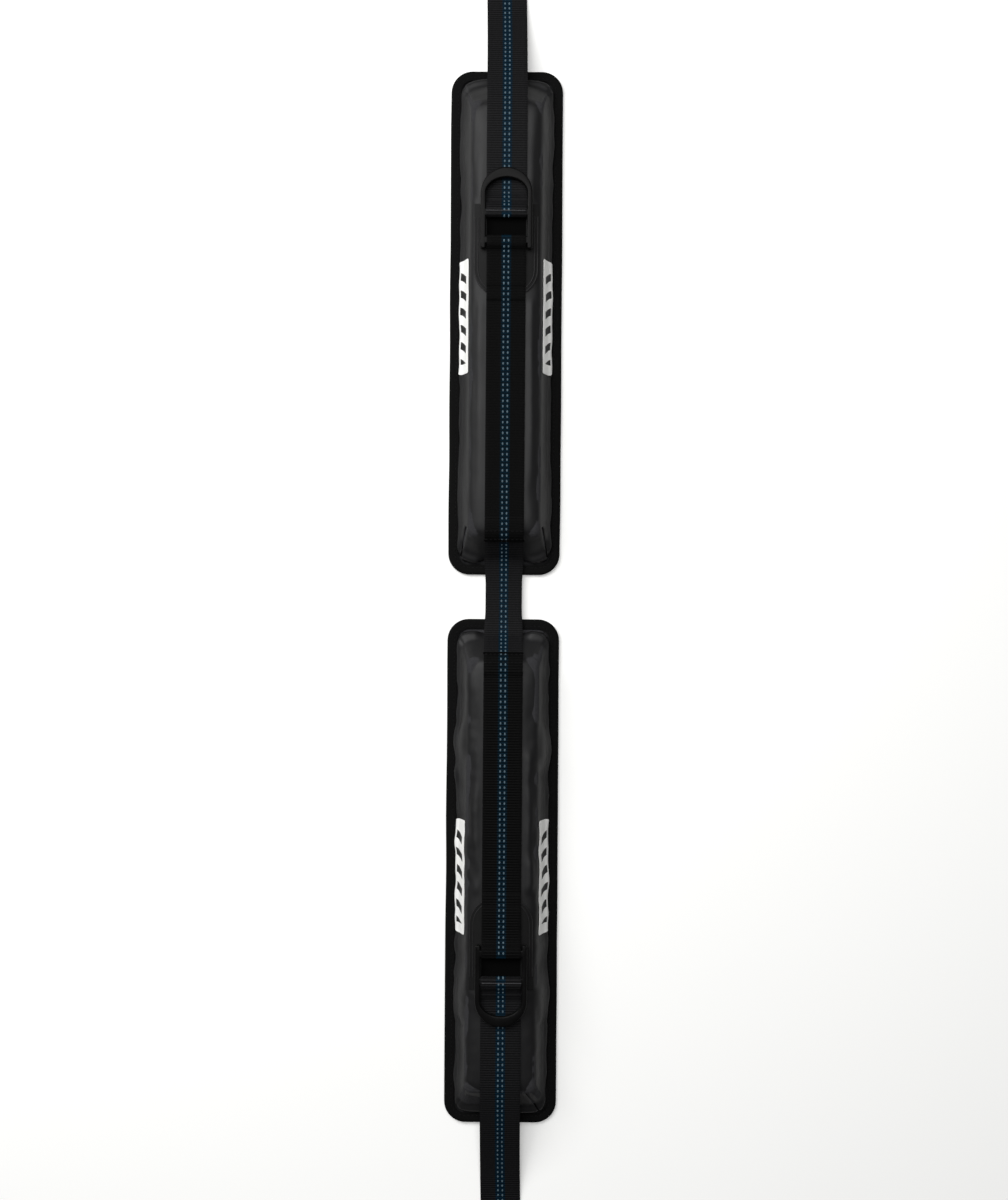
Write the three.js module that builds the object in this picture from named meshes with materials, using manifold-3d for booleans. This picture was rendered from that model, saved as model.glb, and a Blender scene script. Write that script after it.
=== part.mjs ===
// Soft roof rack: two foam pads in line, joined by webbing. Each pad carries a tie-down ring
// and a lashing strap. Millimetres, +Z up. The pads lie along Y on the plane z = 0, and the
// origin is on that plane, in the middle of the gap between them.

import * as THREE from 'three';
import { mergeVertices } from 'three/addons/utils/BufferGeometryUtils.js';
import Module from 'manifold-3d';

const wasm = await Module();
wasm.setup();

// Driving dimensions of the pad
const padLength = 500;
const padWidth = 111;
const padGap = 44;
const cornerRadius = 21;
const topHeight = 39;
const wallHeight = 31;
const shoulderHeight = 37.4;
const sideWallRun = 9;
const sideShoulderRun = 6.5;
const endWallRun = 26;
const endShoulderRun = 10;
const endCrownRun = 44;
const wallRadius = 8;
const crownRadius = 5;

// Driving dimensions of the sheet goods
const fabric = 1.2;
const baseSheet = 1.2;
const tape = 1;
const bindingWidth = 9.5;
const bindingFold = 2;
const webbing = 1.5;
const webbingWidth = 38;
const strapWidth = 39.4;
const connectorWaist = 36;
const waistEase = 1.6;
const clearance = 0.3;

// How strips of webbing lie: how far one stays up past the edge of what is under it, how long
// it takes to step down or up, and how closely it hugs the ring's bars
const edgeMargin = 1;
const stepRun = 5;
const foldRun = 3;
const barLead = 0.4;
const barRun = 6;
const barRise = 4.2;
const barDrop = 1;

// Driving dimensions of the tie-down ring, along the pad from the ring's inner end
const ringStart = 337;
const ringWidth = 50.6;
const ringThickness = 5.5;
const ringLeg = 5.3;
const ringEar = 5;
const ringBar = 7;
const ringSlot = 20;
const ringHoleStraight = 15;
const ringHoleArch = 15;
const ringBand = 11;
const ringBevel = 1.2;
const slotRadius = 0.8;

// Driving dimensions of what is sewn on
const seamPlace = 58;
const seamOverlap = 14;
const foldBack = 38;
const strapFoldBack = 9;
const connectorLift = 9;
const dipLift = 0.6;
const patchWidth = 62;
const patchThickness = 1.2;
const patchStart = 292;
const patchEnd = 382;
const patchRadius = 26;
const labelLength = 112;
const labelHeight = 26;
const labelThickness = 0.6;
const labelRadius = 2;
const labelPlace = 275;

// Driving dimensions of the free strap past the pad
const strapLanding = 612;
const strapFlat = 44;
const strapHem = 26;
const strapSteepness = 0.36;
const strapDroop = 0.12;

// Steps of the curved forms
const cornerSteps = 6;
const shoulderSteps = 4;
const crownSteps = 3;
const foldSteps = 4;
const curveSteps = 18;
const coverStep = 1.25;
const dipSteps = 8;
const ringSteps = 10;
const bevelSteps = 2;
const labelSteps = 4;
const slopeProbe = 0.5;
const straightWithin = 1e-4;
const sharpestMiter = 0.6;

// Heights of the sewn edge, from the floor up
const lipBottom = tape + clearance;
const lipTop = lipBottom + baseSheet;
const flangeBottom = lipTop + clearance;
const flangeTop = flangeBottom + fabric;
const bindingHeight = flangeTop + clearance + tape;

// Plan of the pad
const padCentre = (padGap + padLength) / 2;
const sheetInset = tape + clearance;
const wallInset = bindingWidth + clearance;
const wallHalfWidth = padWidth / 2 - wallInset;
const wallHalfLength = padLength / 2 - wallInset;
const wallBaseRadius = cornerRadius - wallInset;
const crownHalfWidth = webbingWidth / 2 + 1;
const sideCrownRun = wallHalfWidth - sideWallRun - sideShoulderRun - crownHalfWidth;

// Heights on the pad's top, where the ring is sewn on
const patchTop = topHeight + clearance + patchThickness;
const ringBottom = patchTop + clearance + webbing + clearance;
const ringTop = ringBottom + ringThickness;
const barOneStart = ringStart + ringEar;
const barOneEnd = barOneStart + ringBar;
const barTwoStart = barOneEnd + ringSlot;
const barTwoEnd = barTwoStart + ringBar;
const ringLength = ringEar + 2 * ringBar + ringSlot + ringHoleStraight + ringHoleArch + ringBand;

// Materials of the pieces
const finish = (color, roughness) => new THREE.MeshStandardMaterial({ color, roughness, metalness: 0 });
const coatedFabric = () => finish(0x34363a, 0.5);
const blackTape = () => finish(0x121214, 0.85);
const blackWebbing = () => finish(0x15161a, 0.8);
const mouldedNylon = () => finish(0x1d1e20, 0.4);
const closedCellFoam = () => finish(0x3a3b3e, 0.9);
const gripSheet = () => finish(0x202123, 0.9);
const whitePrint = () => finish(0xf2f2f0, 0.6);

// One level of the pad's skin: its height, and how far it stands in from the foot of the walls.
// The rows climb the wall, turn over the shoulder and run in over the crown.
function skinLevels() {
  const levels = [{ z: flangeTop, side: 0, end: 0, radius: wallBaseRadius }];
  levels.push({ z: wallHeight, side: sideWallRun, end: endWallRun, radius: wallRadius });
  for (let i = 1; i <= shoulderSteps; i++) {
    const turn = (i / shoulderSteps) * (Math.PI / 2);
    levels.push({
      z: wallHeight + (shoulderHeight - wallHeight) * Math.sin(turn),
      side: sideWallRun + sideShoulderRun * (1 - Math.cos(turn)),
      end: endWallRun + endShoulderRun * (1 - Math.cos(turn)),
      radius: wallRadius + (crownRadius - wallRadius) * (i / shoulderSteps),
    });
  }
  for (let i = 1; i <= crownSteps; i++) {
    const share = i / crownSteps;
    levels.push({
      z: shoulderHeight + (topHeight - shoulderHeight) * (1 - (1 - share) ** 2),
      side: sideWallRun + sideShoulderRun + sideCrownRun * share,
      end: endWallRun + endShoulderRun + endCrownRun * share,
      radius: crownRadius,
    });
  }
  return levels;
}

const levels = skinLevels();
const sideSlope = Math.atan2(wallHeight - flangeTop, sideWallRun);
const endSlope = Math.atan2(wallHeight - flangeTop, endWallRun);

// How far a skin that lies a thickness deeper moves in, so that walls and top are equally thick.
const shiftFor = (slope) => (1 - Math.cos(slope)) / Math.sin(slope);

// A rounded rectangle in plan, counter-clockwise, with the same number of points at any size.
function planLoop(halfWidth, halfLength, radius) {
  const loop = [];
  const corners = [[1, 1], [-1, 1], [-1, -1], [1, -1]];
  corners.forEach(([sx, sy], quarter) => {
    for (let i = 0; i <= cornerSteps; i++) {
      const angle = (quarter + i / cornerSteps) * (Math.PI / 2);
      const x = sx * (halfWidth - radius) + radius * Math.cos(angle);
      const y = sy * (halfLength - radius) + radius * Math.sin(angle);
      loop.push(new THREE.Vector2(x, y));
    }
  });
  return loop;
}

// The loop of one skin level, a given depth below the outside.
function skinLoop(level, depth) {
  const halfWidth = wallHalfWidth - level.side - depth * shiftFor(sideSlope);
  const halfLength = wallHalfLength - level.end - depth * shiftFor(endSlope);
  return { z: level.z - depth, loop: planLoop(halfWidth, halfLength, level.radius) };
}

// The loop of the sewn edge, a given distance in from the pad's outline.
function edgeLoop(inset, z) {
  const loop = planLoop(padWidth / 2 - inset, padLength / 2 - inset, cornerRadius - inset);
  return { z, loop };
}

// Skins a row of loops. An open row gets a flat cap at both ends, a closed one joins up.
function loft(rows, closed) {
  const count = rows[0].loop.length;
  const positions = [];
  const index = [];
  for (const { z, loop } of rows) {
    for (const p of loop) positions.push(p.x, p.y, z);
  }
  const joins = closed ? rows.length : rows.length - 1;
  for (let row = 0; row < joins; row++) {
    const a = row * count;
    const b = ((row + 1) % rows.length) * count;
    for (let i = 0; i < count; i++) {
      const next = (i + 1) % count;
      index.push(a + i, a + next, b + i, a + next, b + next, b + i);
    }
  }
  if (!closed) {
    const top = (rows.length - 1) * count;
    for (const [i, j, k] of THREE.ShapeUtils.triangulateShape(rows[0].loop, [])) index.push(i, k, j);
    for (const [i, j, k] of THREE.ShapeUtils.triangulateShape(rows.at(-1).loop, [])) {
      index.push(top + i, top + j, top + k);
    }
  }
  const geometry = new THREE.BufferGeometry();
  geometry.setAttribute('position', new THREE.Float32BufferAttribute(positions, 3));
  geometry.setIndex(index);
  return geometry;
}

// Turns a closed geometry into a solid for a boolean, and back.
function solidOf(geometry) {
  const bare = geometry.clone();
  bare.deleteAttribute('normal');
  bare.deleteAttribute('uv');
  const merged = mergeVertices(bare, 1e-4);
  return new wasm.Manifold(new wasm.Mesh({
    numProp: 3,
    vertProperties: new Float32Array(merged.attributes.position.array),
    triVerts: new Uint32Array(merged.index.array),
  }));
}

function geometryOf(solid) {
  const mesh = solid.getMesh();
  const geometry = new THREE.BufferGeometry();
  geometry.setAttribute('position', new THREE.BufferAttribute(mesh.vertProperties, 3));
  geometry.setIndex(new THREE.BufferAttribute(mesh.triVerts, 1));
  return geometry;
}

// Height of the cover along the middle of the pad, at a distance from the gap's middle.
function topAlong(y) {
  const out = wallHalfLength - Math.abs(y - padCentre);
  return heightAt(out, 'end');
}

// Height of the cover across the pad, at a distance from its middle line.
function topAcross(x) {
  return heightAt(wallHalfWidth - Math.abs(x), 'side');
}

function heightAt(inset, key) {
  for (let i = 1; i < levels.length; i++) {
    const low = levels[i - 1];
    const high = levels[i];
    if (inset <= high[key]) {
      const share = (inset - low[key]) / (high[key] - low[key]);
      return low.z + (high.z - low.z) * share;
    }
  }
  return topHeight;
}

// Points a given lift above the cover, measured square to it, from one place to another.
// They are a step apart where the cover bends, and stretches that run straight keep their ends only.
function overCover(height, from, to, lift) {
  const steps = Math.ceil(Math.abs(to - from) / coverStep);
  const points = [];
  for (let i = 0; i <= steps; i++) {
    const y = from + ((to - from) * i) / steps;
    const rise = height(y + slopeProbe) - height(y - slopeProbe);
    const slope = new THREE.Vector2(2 * slopeProbe, rise).normalize();
    points.push(new THREE.Vector2(y - slope.y * lift, height(y) + slope.x * lift));
  }
  return points.filter((p, i) => {
    if (i === 0 || i === steps) return true;
    const one = p.clone().sub(points[i - 1]);
    const two = points[i + 1].clone().sub(p);
    return Math.abs(one.cross(two)) > straightWithin;
  });
}

// A strip of even thickness on the left of a path, as a closed outline.
function stripOutline(path, thickness) {
  const far = path.map((p, i) => {
    const before = path[Math.max(i - 1, 0)];
    const after = path[Math.min(i + 1, path.length - 1)];
    const one = p.clone().sub(before).normalize();
    const two = after.clone().sub(p).normalize();
    const along = one.clone().add(two).normalize();
    const straight = i === 0 || i === path.length - 1;
    const miter = straight ? 1 : 1 / Math.max(Math.sqrt((1 + one.dot(two)) / 2), sharpestMiter);
    return new THREE.Vector2(p.x - along.y * thickness * miter, p.y + along.x * thickness * miter);
  });
  return new THREE.Shape([...path, ...far.reverse()]);
}

// Runs an outline drawn in the plane along the pad (Y, Z) across the pad's width.
function acrossPad(shape, width) {
  const geometry = new THREE.ExtrudeGeometry(shape, { depth: width, bevelEnabled: false });
  geometry.translate(0, 0, -width / 2);
  const turn = new THREE.Matrix4().makeBasis(
    new THREE.Vector3(0, 1, 0), new THREE.Vector3(0, 0, 1), new THREE.Vector3(1, 0, 0));
  geometry.applyMatrix4(turn);
  return geometry;
}

// A strip wrapped over a bar of the ring, from its top to its underside, clear of it all round.
function overBar(start, end) {
  const turn = ringBevel + clearance;
  const low = ringBottom - clearance;
  const high = ringTop + clearance;
  const side = end + clearance;
  const points = [new THREE.Vector2(start, high)];
  for (let i = 0; i <= foldSteps; i++) {
    const angle = (Math.PI / 2) * (1 - i / foldSteps);
    const out = turn * (Math.cos(angle) - 1);
    points.push(new THREE.Vector2(side + out, high + turn * (Math.sin(angle) - 1)));
  }
  for (let i = 0; i <= foldSteps; i++) {
    const angle = -(Math.PI / 2) * (i / foldSteps);
    const out = turn * (Math.cos(angle) - 1);
    points.push(new THREE.Vector2(side + out, low + turn * (Math.sin(angle) + 1)));
  }
  return points;
}

// Foam block that fills the cover down to the base panel.
function foamCore() {
  const depth = fabric + clearance;
  const foot = { ...levels[0], z: flangeBottom + depth };
  const rows = [skinLoop(foot, depth), ...levels.slice(1).map((level) => skinLoop(level, depth))];
  return loft(rows, false);
}

// Cover: flange, walls, shoulder and crown, one fabric thick and open underneath.
function topCover() {
  const inside = levels.map((level) => skinLoop(level, fabric)).reverse();
  const outside = levels.map((level) => skinLoop(level, 0));
  const rim = [edgeLoop(sheetInset, flangeBottom), edgeLoop(sheetInset, flangeTop)];
  return loft([...inside, ...rim, ...outside], false);
}

// Base panel: a slab that stands on the roof, with a thinner lip sewn into the binding.
function basePanel() {
  const rows = [
    edgeLoop(wallInset, 0),
    edgeLoop(wallInset, lipBottom),
    edgeLoop(sheetInset, lipBottom),
    edgeLoop(sheetInset, lipTop),
  ];
  return loft(rows, false);
}

// Tape folded round the sewn edge, with a leaf above and a leaf below.
function edgeBinding() {
  const rows = [];
  for (let i = 0; i <= foldSteps; i++) {
    const angle = (Math.PI / 2) * (i / foldSteps);
    rows.push(edgeLoop(bindingFold * (1 - Math.sin(angle)), bindingFold * (1 - Math.cos(angle))));
  }
  for (let i = 0; i <= foldSteps; i++) {
    const angle = (Math.PI / 2) * (i / foldSteps);
    const drop = bindingFold * (1 - Math.sin(angle));
    rows.push(edgeLoop(bindingFold * (1 - Math.cos(angle)), bindingHeight - drop));
  }
  rows.push(edgeLoop(bindingWidth, bindingHeight));
  rows.push(edgeLoop(bindingWidth, bindingHeight - tape));
  rows.push(edgeLoop(tape, bindingHeight - tape));
  rows.push(edgeLoop(tape, tape));
  rows.push(edgeLoop(bindingWidth, tape));
  rows.push(edgeLoop(bindingWidth, 0));
  return loft(rows, true);
}

// Moulded ring: two legs with rounded ears, two bars with a slot between, and an arched end.
function tieDownRing() {
  const half = ringWidth / 2;
  const inner = half - ringLeg;
  const ear = ringLeg / 2;
  const archStart = ringEar + 2 * ringBar + ringSlot + ringHoleStraight;
  const outline = new THREE.Shape();
  outline.moveTo(half, ear);
  outline.lineTo(half, archStart);
  outline.absellipse(0, archStart, half, ringLength - archStart, 0, Math.PI, false);
  outline.lineTo(-half, ear);
  outline.absarc(-half + ear, ear, ear, Math.PI, 2 * Math.PI, false);
  outline.lineTo(-inner, ringEar);
  outline.lineTo(inner, ringEar);
  outline.lineTo(inner, ear);
  outline.absarc(half - ear, ear, ear, Math.PI, 2 * Math.PI, false);
  outline.holes.push(slotHole(inner), archHole(inner, archStart));
  const geometry = new THREE.ExtrudeGeometry(outline, {
    depth: ringThickness - 2 * ringBevel,
    bevelThickness: ringBevel,
    bevelSize: ringBevel,
    bevelOffset: -ringBevel,
    bevelSegments: bevelSteps,
    curveSegments: ringSteps,
  });
  geometry.translate(0, ringStart, ringBottom + ringBevel);
  return geometry;
}

function slotHole(inner) {
  const low = ringEar + ringBar + slotRadius;
  const high = low + ringSlot - 2 * slotRadius;
  const side = inner - slotRadius;
  const hole = new THREE.Path();
  hole.absarc(side, high, slotRadius, 0, Math.PI / 2, false);
  hole.absarc(-side, high, slotRadius, Math.PI / 2, Math.PI, false);
  hole.absarc(-side, low, slotRadius, Math.PI, 1.5 * Math.PI, false);
  hole.absarc(side, low, slotRadius, 1.5 * Math.PI, 2 * Math.PI, false);
  return hole;
}

function archHole(inner, archStart) {
  const low = archStart - ringHoleStraight + slotRadius;
  const side = inner - slotRadius;
  const hole = new THREE.Path();
  hole.absellipse(0, archStart, inner, ringHoleArch, 0, Math.PI, false);
  hole.absarc(-side, low, slotRadius, Math.PI, 1.5 * Math.PI, false);
  hole.absarc(side, low, slotRadius, 1.5 * Math.PI, 2 * Math.PI, false);
  return hole;
}

// Patch under the ring: follows the crown across the pad, with a round inner end.
function ringPatch() {
  const half = patchWidth / 2;
  const across = stripOutline(overCover(topAcross, half, -half, clearance).reverse(), patchThickness);
  const sheet = new THREE.ExtrudeGeometry(across, { depth: patchEnd - patchStart, bevelEnabled: false });
  sheet.rotateX(Math.PI / 2);
  sheet.translate(0, patchEnd, 0);
  const plan = new THREE.Shape();
  plan.absarc(half - patchRadius, patchStart + patchRadius, patchRadius, 1.5 * Math.PI, 2 * Math.PI, false);
  plan.lineTo(half, patchEnd + clearance);
  plan.lineTo(-half, patchEnd + clearance);
  plan.absarc(-half + patchRadius, patchStart + patchRadius, patchRadius, Math.PI, 1.5 * Math.PI, false);
  const stamp = new THREE.ExtrudeGeometry(plan, {
    depth: 2 * topHeight, bevelEnabled: false, curveSegments: cornerSteps + 2 });
  return geometryOf(solidOf(sheet).intersect(solidOf(stamp)));
}

// Ribbed webbing on the pad's top: from the cross seam, over the patch, round the inner bar and back.
function ringWebbing() {
  const overlapEnd = seamPlace + seamOverlap + edgeMargin;
  const foldEnd = barOneStart - foldBack;
  const onConnector = clearance + webbing + clearance;
  const onPatch = patchTop + clearance;
  const onFold = ringBottom;
  const path = [
    ...overCover(topAlong, seamPlace, overlapEnd, onConnector),
    ...overCover(topAlong, overlapEnd + stepRun, patchStart - edgeMargin - stepRun, clearance),
    new THREE.Vector2(patchStart - edgeMargin, onPatch),
    new THREE.Vector2(foldEnd - foldRun, onPatch),
    new THREE.Vector2(foldEnd, onFold),
    new THREE.Vector2(barOneStart - barRun, onFold),
    new THREE.Vector2(barOneStart - barRun + barRise, ringTop - barDrop),
    ...overBar(barOneStart + barLead, barOneEnd),
    new THREE.Vector2(foldEnd + edgeMargin, ringBottom - clearance),
  ];
  return acrossPad(stripOutline(path, webbing), webbingWidth);
}

// The strap's way down from the pad's end to the floor, and its turned and sewn end.
function freeStrap() {
  const leave = padCentre + wallHalfLength - endWallRun - endShoulderRun;
  const start = new THREE.Vector2(leave, topAlong(leave) + clearance);
  const run = strapLanding - leave;
  const fall = new THREE.CubicBezierCurve(
    start,
    new THREE.Vector2(leave + run * strapSteepness, start.y - run * strapSteepness * strapDroop),
    new THREE.Vector2(strapLanding - run * strapSteepness, 0),
    new THREE.Vector2(strapLanding, 0),
  );
  const end = strapLanding + strapFlat;
  const lower = webbing;
  const upper = lower + clearance;
  return [
    ...fall.getPoints(curveSteps),
    new THREE.Vector2(end - strapHem - edgeMargin - stepRun, 0),
    new THREE.Vector2(end - strapHem - edgeMargin, upper),
    new THREE.Vector2(end, upper),
    new THREE.Vector2(end + clearance / 2, (upper + lower) / 2),
    new THREE.Vector2(end, lower),
    new THREE.Vector2(end - strapHem, lower),
  ];
}

// Lashing strap: sewn back on itself round the outer bar, then over the pad's end and down.
function outerStrap() {
  const foldEnd = barTwoEnd + strapFoldBack;
  const mirrored = overBar(-barTwoEnd + barLead, -barTwoStart).reverse();
  const wrap = mirrored.map((p) => new THREE.Vector2(-p.x, p.y));
  const onCover = topHeight + clearance;
  const leave = padCentre + wallHalfLength - endWallRun - endShoulderRun;
  const path = [
    new THREE.Vector2(foldEnd, ringBottom - clearance),
    ...wrap,
    new THREE.Vector2(barTwoEnd + barRun - barRise, ringTop - barDrop),
    new THREE.Vector2(barTwoEnd + barRun, ringBottom),
    new THREE.Vector2(foldEnd + edgeMargin, ringBottom),
    new THREE.Vector2(foldEnd + edgeMargin + stepRun, onCover),
    ...overCover(topAlong, foldEnd + edgeMargin + 2 * stepRun, leave - stepRun, clearance),
    ...freeStrap(),
  ];
  return acrossPad(stripOutline(path, webbing), strapWidth);
}

// Webbing between the pads: sewn to both inner ends, it dips into the gap and narrows a little.
function connectorWebbing() {
  const leave = padCentre - wallHalfLength + connectorLift;
  const sewnEnd = seamPlace + seamOverlap;
  const sewn = overCover(topAlong, sewnEnd, leave, clearance);
  const last = sewn.at(-1);
  const middle = bindingHeight + clearance + dipLift;
  const turn = new THREE.Vector2(last.x - (last.y - middle) / Math.tan(endSlope), middle);
  const dip = new THREE.QuadraticBezierCurve(last, turn, new THREE.Vector2(0, middle));
  const half = [...sewn, ...dip.getPoints(dipSteps).slice(1)];
  const mirrored = half.map((p) => new THREE.Vector2(-p.x, p.y));
  const whole = [...mirrored, ...half.slice(0, -1).reverse()];
  const geometry = acrossPad(stripOutline(whole, webbing), webbingWidth);
  const spots = geometry.attributes.position;
  for (let i = 0; i < spots.count; i++) {
    const near = Math.max(0, 1 - Math.abs(spots.getY(i)) / leave);
    const ease = near * near * (3 - 2 * near);
    const width = webbingWidth + (connectorWaist - webbingWidth) * Math.min(1, waistEase * ease);
    spots.setX(i, (spots.getX(i) * width) / webbingWidth);
  }
  return geometry;
}

// Label on a steep side wall: a thin plate with rounded corners.
function sideLabel() {
  const halfLength = labelLength / 2 - labelRadius;
  const halfHeight = labelHeight / 2 - labelRadius;
  const outline = new THREE.Shape();
  outline.absarc(halfLength, halfHeight, labelRadius, 0, Math.PI / 2, false);
  outline.absarc(-halfLength, halfHeight, labelRadius, Math.PI / 2, Math.PI, false);
  outline.absarc(-halfLength, -halfHeight, labelRadius, Math.PI, 1.5 * Math.PI, false);
  outline.absarc(halfLength, -halfHeight, labelRadius, 1.5 * Math.PI, 2 * Math.PI, false);
  return new THREE.ExtrudeGeometry(outline, {
    depth: labelThickness, bevelEnabled: false, curveSegments: labelSteps });
}

function mesh(name, geometry, material) {
  const piece = new THREE.Mesh(geometry, material);
  piece.name = name;
  return piece;
}

// Seats a label on the wall: its length along the pad, its face square to the slope.
function seatLabel(name, side) {
  const label = mesh(name, sideLabel(), whitePrint());
  const along = new THREE.Vector3(0, side, 0);
  const up = new THREE.Vector3(-side * Math.cos(sideSlope), 0, Math.sin(sideSlope));
  const out = new THREE.Vector3().crossVectors(along, up);
  label.quaternion.setFromRotationMatrix(new THREE.Matrix4().makeBasis(along, up, out));
  const middle = new THREE.Vector3(
    side * (wallHalfWidth - sideWallRun / 2), labelPlace, (flangeTop + wallHeight) / 2);
  label.position.copy(middle.addScaledVector(out, clearance));
  return label;
}

// One pad with all that is sewn to it. The half turn brings the second pad to the other side.
function pad(name, turned) {
  const group = new THREE.Group();
  const body = new THREE.Group();
  body.position.y = padCentre;
  body.add(
    mesh(`${name}_foam_core`, foamCore(), closedCellFoam()),
    mesh(`${name}_top_cover`, topCover(), coatedFabric()),
    mesh(`${name}_base_panel`, basePanel(), gripSheet()),
    mesh(`${name}_edge_binding`, edgeBinding(), blackTape()),
  );
  const left = turned ? 1 : -1;
  group.add(
    body,
    mesh(`${name}_ring_patch`, ringPatch(), coatedFabric()),
    mesh(`${name}_ring_webbing`, ringWebbing(), blackWebbing()),
    mesh(`${name}_tie_down_ring`, tieDownRing(), mouldedNylon()),
    mesh(`${name}_outer_strap`, outerStrap(), blackWebbing()),
    seatLabel(`${name}_left_label`, left),
    seatLabel(`${name}_right_label`, -left),
  );
  group.rotation.z = turned ? Math.PI : 0;
  return group;
}

const rack = new THREE.Group();
rack.add(
  pad('pad_a', false),
  pad('pad_b', true),
  mesh('connector_webbing', connectorWebbing(), blackWebbing()),
);

export default rack;
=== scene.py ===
# %% [markdown]
# Soft roof rack, dressed in Blender.
# The rack is two foam pads in line, joined by webbing. Each pad carries a moulded tie-down ring
# and a lashing strap. The solid model says how large each piece is and where it lies. This
# lesson gives the pieces the finish that a stranger sees: coated cloth that swells over foam,
# ribbed webbing, folded tape, stitches and moulded nylon. Everything is in metres.

# %% Load the solid model
import math

import bpy
import bmesh
from mathutils import Matrix, Vector, noise
from mathutils.bvhtree import BVHTree


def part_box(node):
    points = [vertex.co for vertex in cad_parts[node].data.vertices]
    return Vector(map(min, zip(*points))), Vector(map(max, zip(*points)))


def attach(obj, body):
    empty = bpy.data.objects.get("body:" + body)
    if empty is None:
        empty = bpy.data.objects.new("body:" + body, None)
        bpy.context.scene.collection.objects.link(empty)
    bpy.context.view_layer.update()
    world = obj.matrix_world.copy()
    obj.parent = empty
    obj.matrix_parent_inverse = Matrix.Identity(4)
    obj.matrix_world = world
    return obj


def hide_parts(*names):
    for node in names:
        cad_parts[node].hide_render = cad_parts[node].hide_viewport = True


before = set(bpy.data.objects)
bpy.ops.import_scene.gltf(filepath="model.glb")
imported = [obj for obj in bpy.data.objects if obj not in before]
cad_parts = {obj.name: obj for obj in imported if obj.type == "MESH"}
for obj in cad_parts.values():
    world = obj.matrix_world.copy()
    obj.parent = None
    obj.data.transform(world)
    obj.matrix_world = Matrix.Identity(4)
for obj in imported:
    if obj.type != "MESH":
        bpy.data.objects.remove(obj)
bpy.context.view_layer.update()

# %% [markdown]
# The sizes come from the solid model where it can give them. What a box can't tell, such as
# where a wall turns into a shoulder, is written once here, as the maker's own numbers. Two places
# less than TOUCH apart count as one, and a face within NEAR of a place is the one that is meant.
# Pad B is pad A turned by half a turn, so each step knows which of the two it works on.

# %% Sizes
MM = 0.001
TOUCH = 0.001 * MM
NEAR = 0.1 * MM
edge_low, edge_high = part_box("pad_a_edge_binding")
_, cover_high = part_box("pad_a_top_cover")
patch_low, patch_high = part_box("pad_a_ring_patch")
ring_low, ring_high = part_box("pad_a_tie_down_ring")
label_low, label_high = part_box("pad_a_left_label")
strap_low, strap_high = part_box("pad_a_outer_strap")
ribbed_low, ribbed_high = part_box("pad_a_ring_webbing")

PAD_HALF_WIDTH = edge_high[0]
PAD_HALF_LENGTH = (edge_high[1] - edge_low[1]) / 2
PAD_MIDDLE = (edge_high[1] + edge_low[1]) / 2
EDGE_HEIGHT = edge_high[2]
TOP_HEIGHT = cover_high[2]

CLEARANCE = 0.3 * MM
BINDING_WIDTH = 9.5 * MM
TAPE = 1 * MM
WEBBING = 1.5 * MM
CORNER_RADIUS = 21 * MM
FLANGE_TOP = EDGE_HEIGHT - TAPE - CLEARANCE
WALL_HEIGHT = 31 * MM
SHOULDER_HEIGHT = 37.4 * MM
SIDE_WALL_RUN = 9 * MM
SIDE_SHOULDER_RUN = 6.5 * MM
END_WALL_RUN = 26 * MM
END_SHOULDER_RUN = 10 * MM
END_CROWN_RUN = 44 * MM
WALL_INSET = BINDING_WIDTH + CLEARANCE
WALL_HALF_WIDTH = PAD_HALF_WIDTH - WALL_INSET
WALL_HALF_LENGTH = PAD_HALF_LENGTH - WALL_INSET
CROWN_HALF_WIDTH = ribbed_high[0] + 1 * MM
SIDE_CROWN_RUN = WALL_HALF_WIDTH - SIDE_WALL_RUN - SIDE_SHOULDER_RUN - CROWN_HALF_WIDTH
TURNED = {"a": False, "b": True}
SIDES = {"a": 1, "b": -1}
print("pad:", round(2 * PAD_HALF_WIDTH / MM, 1), "by", round(2 * PAD_HALF_LENGTH / MM, 1), "mm")

# %% [markdown]
# A few small helpers keep the steps short. An operator acts on all that is selected, so one
# helper clears the selection and one leaves a single piece chosen. One picks faces, edges or
# points by their place. Others join a finished piece to the model with its place in its mesh,
# apply a modifier, turn the faces outward, and turn a piece of pad A round to pad B.

# %% Helpers for modelling by hand
def clear():
    if bpy.context.object and bpy.context.object.mode != "OBJECT":
        bpy.ops.object.mode_set(mode="OBJECT")
    bpy.ops.object.select_all(action="DESELECT")


def choose(piece):
    clear()
    bpy.context.view_layer.objects.active = piece
    piece.select_set(True)


def pick(kind, test):
    mesh = bmesh.from_edit_mesh(bpy.context.object.data)
    bpy.ops.mesh.select_all(action="DESELECT")
    bpy.context.tool_settings.mesh_select_mode = (kind == "VERT", kind == "EDGE", kind == "FACE")
    chosen = {"VERT": mesh.verts, "EDGE": mesh.edges, "FACE": mesh.faces}[kind]
    count = 0
    for item in chosen:
        if test(item):
            item.select_set(True)
            count += 1
    mesh.select_flush_mode()
    bmesh.update_edit_mesh(bpy.context.object.data)
    return count


def settle(piece, name, material, smooth=40):
    choose(piece)
    piece.name = name
    piece.data.name = name
    bpy.ops.object.transform_apply(location=True, rotation=True, scale=True)
    bpy.ops.object.shade_smooth_by_angle(angle=math.radians(smooth))
    piece.data.materials.clear()
    piece.data.materials.append(material)
    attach(piece, "root")
    return piece


def finish_with(piece, kind, **settings):
    choose(piece)
    modifier = piece.modifiers.new(kind.title(), kind)
    for key, value in settings.items():
        setattr(modifier, key, value)
    bpy.ops.object.modifier_apply(modifier=modifier.name)


def face_outward():
    """Turns all faces of the piece in edit mode outward."""
    bpy.ops.mesh.select_all(action="SELECT")
    bpy.ops.mesh.normals_make_consistent(inside=False)


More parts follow.
